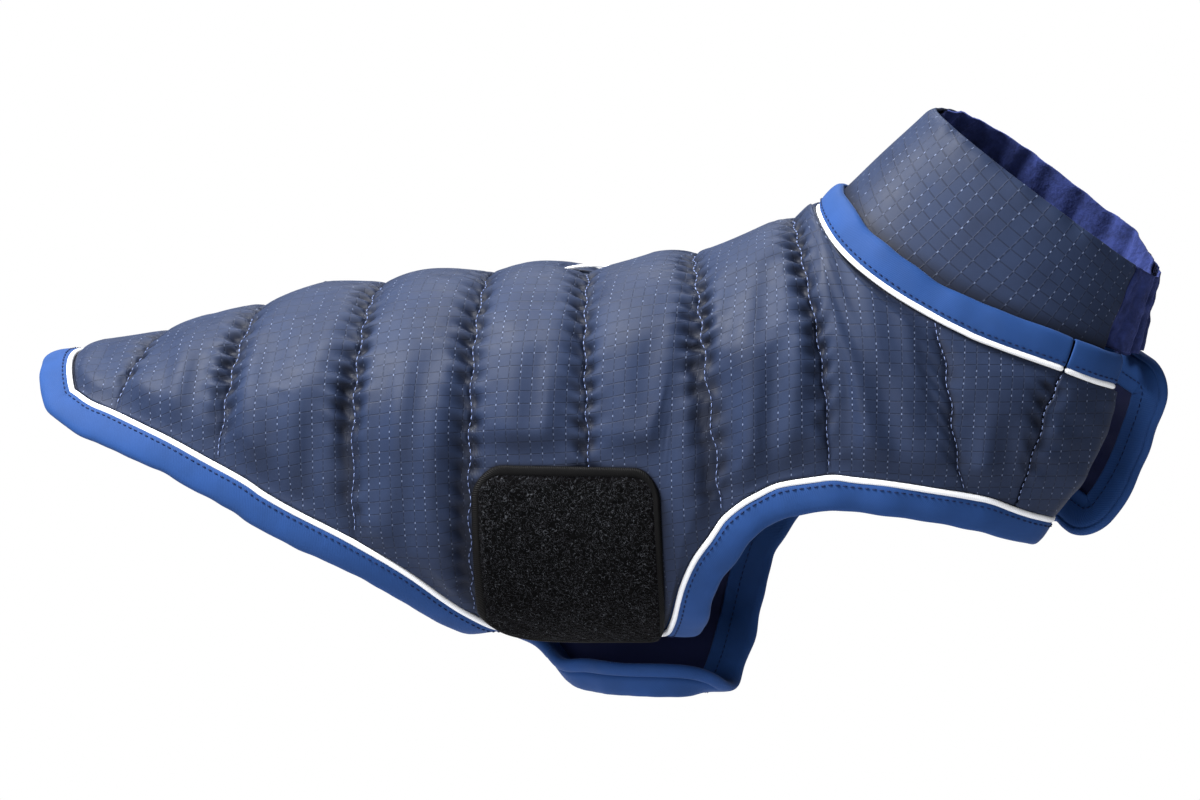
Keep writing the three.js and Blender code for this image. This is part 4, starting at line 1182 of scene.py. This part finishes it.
fleece = collar_cloth(
    "collar_fleece",
    FLEECE,
    np.linspace(0, 1, 261),
    np.concatenate([np.linspace(0, 0.88, 17), [0.93, 0.965, 0.985]]),
    lambda share, rise: 360 * share,
    fleece_depth,
    400,
    fleece_rise,
)
thickened(fleece, THICKNESS["fleece"], 0)
sew_on(fleece, "fleece", "collar_lining")


def gusset_depth(share, rise):
    slant = share + 0.12 * (rise - 0.6)
    folds = 3.2 * gathers(slant, 5, 0.4) * (0.25 + 0.75 * smooth_step(1.02, 0.75, rise))
    seam = 1 - 0.8 * np.exp(-(((rise - 0.68) / 0.07) ** 2))
    tufts = 0.2 * soft_noise(share * 90, rise * 50, 71, 3)
    edge = window(share, 0, 0.06, 0.94, 1)
    return GUSSET_INSIDE + folds * seam + tufts + 0.9 * (1 - seam) - 0.6 * edge


def gusset_turn(share, rise):
    """From 1 degree under one end of the shell to 1 degree under the other."""
    return front_end(rise) - 1 + (362 - 2 * front_end(rise)) * share


def gusset_rise(share, rise):
    """The lower edge is raised, most towards the far side."""
    return rise + (0.25 + 0.07 * np.sin(np.pi * np.clip(1.15 * share, 0, 1))) * (1 - rise) ** 1.5


gusset = collar_cloth(
    "gusset_fleece",
    FLEECE,
    np.linspace(0, 1, 85),
    np.linspace(0.06, 1, 40),
    gusset_turn,
    gusset_depth,
    100,
    gusset_rise,
)
thickened(gusset, THICKNESS["gusset"], -1)
sew_on(gusset, "fleece", "collar_gusset")

# Bands and piping.

PATH_STEP = 3.0
TANGENT_REACH = 5.0


def turned_about(vectors, axis, angle):
    """Vectors turned about unit axes, by an angle in degrees for each."""
    c = by(np.cos(np.radians(angle)))
    s = by(np.sin(np.radians(angle)))
    return vectors * c + np.cross(axis, vectors) * s + axis * dot(axis, vectors) * (1 - c)


def under_belly(side, line):
    """Where the bands curl inwards: all along the belly, from 0 to 1."""
    if side == FAR:
        return window(line, 3.5, 4.1, 5.35, 5.66)
    return window(line, 4.0, 4.2, 5.32, 5.52)


def run_frames(first, last, turn):
    """Even frames along one run of the panel's edge: point, tangent, direction out, and normal."""
    side, u0, v0 = first
    _, u1, v1 = last
    count = max(math.ceil(abs(u1 - u0) * 60 + abs(v1 - v0) * 100), 2)
    t = np.linspace(0, 1, count + 1)
    u = u0 + (u1 - u0) * t
    point, normal = on_panel(side, u, v0 + (v1 - v0) * t)
    run = arc(point)
    along = np.linspace(0, run[-1], max(round(run[-1] / PATH_STEP), 2) + 1)
    here = along_arc(along, run, point)
    facing = unit(along_arc(along, run, normal))
    ahead = along_arc(np.minimum(along + TANGENT_REACH, run[-1]), run, point)
    tangent = unit(ahead - along_arc(np.maximum(along - TANGENT_REACH, 0), run, point))
    line = u0 + (u1 - u0) * along / run[-1]
    at_neckline = v0 == 0 and v1 == 0 and u0 != u1
    if at_neckline:
        rise = along_arc(along, run, collar_rise(side, u))
        out = unit(rise - tangent * dot(rise, tangent))
        facing = unit(np.cross(out, tangent) * turn)
    else:
        out = unit(np.cross(tangent, facing) * turn)
        curl = (FAR_BAND_CURL if side == FAR else NEAR_BAND_CURL) * under_belly(side, line) * turn
        out = turned_about(out, tangent, curl)
        facing = turned_about(facing, tangent, curl)
    place = np.stack([np.full(len(along), side), line, along * 0], axis=-1)
    return np.stack([here, tangent, out, facing, place], axis=1)


def edge_frames(stops, turn):
    """All the runs between the stops, with a fan of frames round each corner."""
    frames = None
    for first, last in zip(stops, stops[1:]):
        if first[0] != last[0]:
            continue
        run = run_frames(first, last, turn)
        if frames is None:
            frames = run
            continue
        bend = math.degrees(math.acos(np.clip(np.dot(frames[-1, 2], run[0, 2]), -1, 1)))
        steps = max(math.ceil(bend / 12), 2)
        fan = []
        for k in range(1, steps):
            mix = frames[-1] * (1 - k / steps) + run[0] * (k / steps)
            fan.append(np.concatenate([run[:1, 0], unit(mix[1:4]), mix[4:]]))
        frames = np.concatenate([frames, np.array(fan), run])
    return frames


def rounded(frames, rounds):
    """Directions eased along the path, so that bands turn softly. The points stay."""
    frames = frames.copy()
    for _ in range(rounds):
        middle = (frames[:-2, 1:4] + 2 * frames[1:-1, 1:4] + frames[2:, 1:4]) / 4
        frames[1:-1, 1:4] = unit(middle)
    return frames


# Each edge's way round the panel, 1 or -1, and the pattern points it runs through. Where the side
# changes, the two points are one.
EDGES = {
    "hem": (
        -1,
        [(NEAR, HEM_END, 1), (NEAR, 0, 1), (NEAR, 0, 0), (FAR, 0, 0), (FAR, 0, 1), (FAR, HEM_END, 1)],
    ),
    "edge_near": (1, [(NEAR, HEM_END, 1), (NEAR, FLAP_END_U, 1), (NEAR, FLAP_END_U, 0)]),
    "edge_far": (
        -1,
        [(FAR, HEM_END, 1), (FAR, FLAP_END_U, 1), (FAR, FLAP_END_U, 0), (FAR, SEAM_NINE, 0)],
    ),
    "neck": (1, [(NEAR, SEAM_NINE, 0), (NEAR, NECK_U, 0), (FAR, NECK_U, 0), (FAR, SEAM_NINE, 0)]),
    "neck_front_near": (1, [(NEAR, NECK_FOLD, 0), (NEAR, SEAM_NINE, 0)]),
}

FINE_WELD = 0.01 * MM
PIPING_RADIUS = 1.5
PIPING_PAST = 2.3
PIPING_ABOVE = 2.7
BAND_FROM = 3.4
BAND_WIDTH = 13.5
# The band's section, once round its fold: how far past the panel's edge and how high. Under the belly
# the far one is creased along its length and covers its piping, and at the chest it has a groove.
BAND_SECTION = np.array(
    [
        # past, above, past when creased, above when creased, groove
        (3.4, 2.7, 0.6, 4.4, 0),
        (4.1, 3.3, 2.3, 5.3, 0),
        (5.8, 3.75, 5.2, 5.3, 0),
        (8.8, 4.0, 8.2, 4.7, 0),
        (11.0, 4.05, 10.4, 4.3, 0),
        (11.9, 4.0, 11.3, 1.6, 0),
        (12.6, 3.95, 11.9, 4.2, 0),
        (14.9, 3.7, 14.2, 4.6, 0),
        (16.4, 2.9, 16.4, 3.6, 0),
        (16.9, 1.8, 17.0, 2.0, 0),
        (16.4, 0.7, 16.4, 0.7, 0),
        (15.0, 0.0, 15.0, 0.0, 0),
        (14.4, -0.1, 14.4, -0.1, 1.5),
        (13.6, -0.2, 13.6, -0.2, 0),
        (8.8, -0.2, 8.8, -0.2, 0),
        (5.8, 0.0, 5.8, 0.0, 0),
        (3.9, 0.4, 3.9, 0.4, 0),
        (1.5, 0.2, 1.5, 0.2, 0),
        (-1.2, -0.4, -1.2, -0.4, 0),
    ]
)


def band_sections(frames):
    """The band's section at each frame."""
    side, line = frames[:, 4, 0], frames[:, 4, 1]
    past, above, creased_past, creased_above, groove = BAND_SECTION.T
    creased = by(np.where(side > 0, window(line, 3.8, 4.3, 5.4, 5.62), 0))
    chest = by(np.where(side > 0, smooth_step(8.8, 9.2, line), 0))
    past = past + (creased_past - past) * creased
    above = above + (creased_above - above) * creased + groove * chest
    return np.stack([past, above], axis=-1)


def path_lengths(frames):
    """Distance along the path, with the fans at corners given a little length of their own."""
    step = np.linalg.norm(np.diff(frames[:, 0], axis=0), axis=1)
    swing = np.linalg.norm(np.diff(frames[:, 2], axis=0), axis=1) * 8
    return np.concatenate([[0], np.cumsum(np.maximum(step, swing))])


def swept(name, frames, section, material, closed, waves=None):
    """A strip or tube along the frames. section gives past and above, for all frames or for each."""
    along = path_lengths(frames)
    bm = bmesh.new()
    sections = np.broadcast_to(section, (len(frames), *np.shape(section)[-2:]))
    if closed:
        sections = np.concatenate([sections, sections[:, :1]], axis=1)
    index = np.arange(len(frames))
    turns = np.arange(sections.shape[1])

    def place(i, k):
        i, k = whole(i), whole(k)
        past, above = sections[i, k].T
        if waves:
            past, above = waves(along[i], past, above)
        return frames[i, 0] + frames[i, 2] * by(past) + frames[i, 3] * by(above)

    around = arc(sections[0])

    def cloth(i, k):
        return np.stack([along[whole(i)], around[whole(k)]], axis=-1)

    add_grid(bm, index, turns, place, cloth)
    if closed:
        bmesh.ops.remove_doubles(bm, verts=bm.verts, dist=FINE_WELD)
        bmesh.ops.holes_fill(bm, edges=[edge for edge in bm.edges if edge.is_boundary], sides=0)
        bmesh.ops.recalc_face_normals(bm, faces=bm.faces)
    for face in bm.faces:
        face.smooth = True
    return new_object(name, bm, material)


def drawn_line(frames, past, above):
    """The points at a place of the section, all along the frames."""
    return frames[:, 0] + frames[:, 2] * by(past) + frames[:, 3] * by(above)


def round_section(radius, past, above, count):
    turns = np.linspace(0, 2 * np.pi, count, endpoint=False)
    return [(past + radius * math.cos(turn), above + radius * math.sin(turn)) for turn in turns]


def band_waves(seed):
    """A slack outer fold and small puckers at the stitches."""

    def waves(along, past, above):
        share = np.clip((past - BAND_FROM) / BAND_WIDTH, 0, 1)
        slack = 0.55 * soft_noise(along, 0, seed, 26) + 0.35 * soft_noise(along, 0, seed + 1, 9)
        pull = 0.4 * np.sin(2 * np.pi * along / 7.3 + 1.5 * np.sin(along / 17)) * np.exp(-share * 4)
        lift = (0.8 * soft_noise(along, share * 6, seed + 2, 15) + pull) * (0.4 + 0.6 * share)
        return past + slack * share**2, above + lift

    return waves


STITCHES_PAST = 5.2
STITCHES_ABOVE = 4.5
INNER_STITCHES_ABOVE = -0.8
PIPING_SECTION = round_section(PIPING_RADIUS, PIPING_PAST, PIPING_ABOVE, 10)
band_rows = []
inner_rows = []
for number, (edge, (turn, stops)) in enumerate(EDGES.items()):
    frames = rounded(edge_frames(stops, turn), 6)
    along = path_lengths(frames)
    waves = band_waves(100 + 10 * number)
    band = swept(f"{edge}_tape", frames, band_sections(frames), TWILL, False, waves)
    thickened(band, THICKNESS["tape"], -turn)
    subdivided(band)
    sew_on(band, "band", f"{edge}_band")
    piping = swept(f"{edge}_cord", frames, PIPING_SECTION, PIPING, True)
    subdivided(piping)
    sew_on(piping, "piping", f"{edge}_piping")
    facing = frames[:, 3]
    outer = waves(along, STITCHES_PAST, STITCHES_ABOVE)
    band_rows.append((drawn_line(frames, *outer), facing))
    # The far edge's flaps show their inside.
    if edge == "edge_far":
        inner = waves(along, STITCHES_PAST, INNER_STITCHES_ABOVE)
        inner_rows.append((drawn_line(frames, *inner), -facing))

# The loop patch.


def patch_top(u):
    low = np.zeros_like(u)
    high = np.ones_like(u)
    for _ in range(24):
        v = (low + high) / 2
        above = on_form(NEAR, u, v)[0][..., 2] > PATCH["top_z"]
        low = np.where(above, v, low)
        high = np.where(above, high, v)
    return low


def patch_place(across, down, inset):
    """Pattern point of the patch's field, its outline drawn in by inset and its corners rounded."""
    width = (PATCH["end"] - PATCH["start"]) * PATCH["scale"] - 2 * inset
    radius = PATCH["corner"] - inset
    from_side = np.minimum(across, 1 - across) * width
    corner = radius - np.sqrt(np.maximum(radius**2 - np.maximum(radius - from_side, 0) ** 2, 0))
    u = PATCH["start"] + (inset + across * width) / PATCH["scale"]
    length = line_length(NEAR, u)
    top = patch_top(u) + (inset + corner) / length
    low = PATCH["low"] - (inset + corner * 0.6) / length
    return u, top + (low - top) * down


def patch_point(across, down, inset, above):
    u, v = patch_place(across, down, inset)
    return panel_point(NEAR, u, v, above)


PILE_WIDTH = 75
PILE_HEIGHT = 70


def pile_flat(across, down):
    return np.stack([across * PILE_WIDTH, down * PILE_HEIGHT], axis=-1)


def pile_place(across, down):
    x, y = pile_flat(across, down).T
    tufts = 0.06 * soft_noise(x, y, 81, 1.8) + 0.1 * soft_noise(x, y, 83, 3.6)
    swell = 0.45 * soft_noise(x, y, 87, 26)
    edge = np.minimum(np.minimum(x, PILE_WIDTH - x), np.minimum(y, PILE_HEIGHT - y))
    height = PATCH["above"] + 0.5 + (1.2 + tufts + swell) * smooth_step(0, 3, edge)
    return patch_point(across, down, PATCH["rim"], height)


def eased(count):
    """Shares from 0 to 1, closer together at both ends."""
    return (1 - np.cos(np.linspace(0, np.pi, count))) / 2


bm = bmesh.new()
add_grid(bm, eased(91), np.linspace(0, 1, 85), pile_place, pile_flat)
pile = new_object("loop_pile", bm, LOOP)
thickened(pile, THICKNESS["pile"], -1)
sew_on(pile, "loop", "loop_patch")


def patch_outline(count, inset, above):
    """Points round the patch's outline, evenly spaced."""
    level = np.linspace(0, 1, 60)
    across = np.concatenate([eased(60), np.ones(60), eased(60)[::-1], np.zeros(60)])
    down = np.concatenate([np.zeros(60), level, np.ones(60), level[::-1]])
    points = patch_point(across, down, inset, above)
    looped = np.concatenate([points, points[:1]])
    run = arc(looped)
    return along_arc(np.linspace(0, run[-1], count, endpoint=False), run, looped), run[-1]


# The binding's section: how far inside the patch's outline and how high above its base.
BORDER_SECTION = [
    (0, -0.3),
    (-0.3, 0.5),
    (0, 1.2),
    (0.5, 1.6),
    (1.2, 1.7),
    (1.8, 1.6),
    (2.2, 1.2),
    (2.3, 0.4),
]
OUTLINE_POINTS = 260
outlines = np.array(
    [patch_outline(OUTLINE_POINTS, inset, PATCH["above"] + above)[0] for inset, above in BORDER_SECTION]
)
outline_length = patch_outline(OUTLINE_POINTS, 0, PATCH["above"])[1]
bm = bmesh.new()
add_grid(
    bm,
    np.arange(OUTLINE_POINTS + 1),
    np.arange(len(BORDER_SECTION)),
    lambda i, k: outlines[whole(k), whole(i) % OUTLINE_POINTS],
    lambda i, k: np.stack([i / OUTLINE_POINTS * outline_length, k * 0.8], axis=-1),
)
bmesh.ops.remove_doubles(bm, verts=bm.verts, dist=FINE_WELD)
binding = new_object("patch_border", bm, BINDING)
thickened(binding, THICKNESS["binding"], -1)
subdivided(binding)
sew_on(binding, "binding", "patch_binding")

# Piping round the leash slot.


def slot_frames(count):
    turn = np.linspace(0, 2 * np.pi, count, endpoint=False)
    inner = SLOT["half_width"] - SLOT["cord_inset"]
    u = SLOT["centre"] + (SLOT["half_length"] - 0.045) * np.cos(turn)
    side = np.where(np.sin(turn) < 0, NEAR, FAR)
    point, normal = on_panel(side, u, np.zeros(count))
    point[:, 1] = inner * np.sin(turn)
    centre = point + normal * by(3.0 + 2.6 * np.sin(turn))
    tangent = unit(np.roll(centre, -1, axis=0) - np.roll(centre, 1, axis=0))
    up = np.tile([0.0, 0.0, 1.0], (count, 1))
    return np.stack([centre, tangent, unit(np.cross(tangent, up)), up], axis=1)


ring = slot_frames(72)
ring = np.concatenate([ring, ring[:1]])
slot_piping = swept("slot_cord", ring, round_section(SLOT["cord_radius"], 0, 0, 8), PIPING, True)
subdivided(slot_piping)
sew_on(slot_piping, "piping", "leash_slot_piping")

# Stitches.


def stitched(name, rows, pitch, length, width, material, slot):
    """Rows of stitches, each a small rounded thread that dips in at both ends."""
    spots = []
    for points, normals in rows:
        run = arc(points)
        at = np.arange(pitch / 2, run[-1] - pitch / 2, pitch)
        centre = along_arc(at, run, points)
        ahead = along_arc(at + length / 2, run, points)
        tangent = unit(ahead - along_arc(at - length / 2, run, points))
        normal = along_arc(at, run, normals)
        normal = unit(normal - tangent * dot(normal, tangent))
        spots.append(np.stack([centre, tangent, np.cross(normal, tangent), normal], axis=1))
    spots = np.concatenate(spots)
    bm = bmesh.new()
    bmesh.ops.create_uvsphere(bm, u_segments=6, v_segments=4, radius=0.5)
    for face in bm.faces:
        face.smooth = True
    single = new_object(name, bm, material)
    copies = single.modifiers.new("row", "ARRAY")
    copies.count = len(spots)
    copies.use_relative_offset = False
    copies.use_constant_offset = True
    copies.constant_offset_displace = (2, 0, 0)
    shape = coordinates(single.data)
    mesh = evaluated_mesh(single)
    single.modifiers.clear()
    # The sphere's own poles lie along the stitch.
    x = shape[:, 2] * length
    y = shape[:, 0] * width
    z = shape[:, 1] * width - 0.35 * width * (2 * shape[:, 2]) ** 2
    centre, tangent, across, normal = np.moveaxis(spots[:, None], 2, 0)
    points = centre + tangent * by(x) + across * by(y) + normal * by(z)
    set_coordinates(mesh, points * MM)
    single.data = mesh
    sew_on(single, slot)


STITCH_LIFT = 0.9
quilt_rows = []
for side in (NEAR, FAR):
    for seam in range(1, SEAM_NINE + 1):
        v = np.linspace(0.05 if seam == SEAM_FIVE else 0, 0.99, 120)
        u = np.full_like(v, seam)
        normal = on_panel(side, u, v)[1]
        drawn = u + seam_shift(side, u, v)
        quilt_rows.append((panel_point(side, drawn, v, SEAM_LEVEL + STITCH_LIFT), normal))
STITCHES = [
    # name, rows, pitch, length, width, thread, slot
    ("quilting_stitches", quilt_rows, 3.1, 2.1, 0.48, QUILT_THREAD, "ripstop"),
    ("tape_stitches", band_rows, 3.3, 2.3, 0.75, BAND_THREAD, "band"),
    ("tape_inner_stitches", inner_rows, 3.0, 2.3, 0.5, BAND_THREAD, "band"),
]
for row in STITCHES:
    stitched(*row)

# Floor, light and camera.

floor_bm = bmesh.new()
bmesh.ops.create_circle(floor_bm, cap_ends=True, segments=96, radius=1.05)
floor_material, _, floor_shader = new_material("matt_white_paper", 0.9, 0.5)
floor_shader.inputs["Base Color"].default_value = linear("#a8a8aa")
floor = new_object("studio_floor", floor_bm, floor_material)
floor.location.z = -0.42

ROOM_LIGHT = 0.28
world = bpy.data.worlds.new("studio")
bpy.context.scene.world = world
world.use_nodes = True
backdrop = world.node_tree.nodes["Background"]
backdrop.inputs["Color"].default_value = linear("#ffffff")
# The white room behind is bright, and what it sends back to the coat is weaker.
seen = world.node_tree.nodes.new("ShaderNodeLightPath").outputs["Is Camera Ray"]
room = scaled(world.node_tree, seen, 0, 1, ROOM_LIGHT, 1)
world.node_tree.links.new(room, backdrop.inputs["Strength"])


def stand(obj, place, away):
    """Puts a lamp or the camera at a place, upright, with its back to the away direction."""
    right = unit(np.cross([0, 0, 1], away))
    turn = np.column_stack([right, np.cross(away, right), away])
    obj.matrix_world = Matrix([[*turn[i], place[i]] for i in range(3)] + [[0, 0, 0, 1]])
    bpy.context.scene.collection.objects.link(obj)


LIGHTS = [
    # name, power in watts, width, place, aimed at
    ("key_softbox", 290, 1.1, (-1.5, -1.15, 2.3), (-0.03, 0, -0.05)),
    ("fill_softbox", 20, 0.8, (-0.5, -2.2, 0.1), (0, 0, -0.08)),
    ("top_softbox", 50, 1.0, (-0.5, 1.2, 2.3), (-0.03, 0.3, -0.05)),
]
for name, power, width, place, target in LIGHTS:
    light = bpy.data.lights.new(name, "AREA")
    light.energy = power
    light.size = width
    stand(bpy.data.objects.new(name, light), place, unit(np.array(place) - np.array(target)))

AZIMUTH = math.radians(12)
ELEVATION = math.radians(4)
DISTANCE = 2200
VIEW_WIDTH = 558  # millimetres across the picture, at the coat's middle
SENSOR_WIDTH = 36
PICTURE_MIDDLE = (-18.6, -61.38)  # millimetres right of and above the frame's origin, as seen
right = np.array([math.cos(AZIMUTH), math.sin(AZIMUTH), 0])
away = np.array([math.sin(AZIMUTH), -math.cos(AZIMUTH), math.tan(ELEVATION)]) * math.cos(ELEVATION)
target = PICTURE_MIDDLE[0] * right + PICTURE_MIDDLE[1] * np.cross(away, right)
camera_data = bpy.data.cameras.new("camera")
camera_data.sensor_width = SENSOR_WIDTH
camera_data.lens = SENSOR_WIDTH * DISTANCE / VIEW_WIDTH
camera = bpy.data.objects.new("camera", camera_data)
stand(camera, (target + DISTANCE * away) * MM, away)
bpy.context.scene.camera = camera
bpy.context.scene.view_settings.view_transform = "Standard"
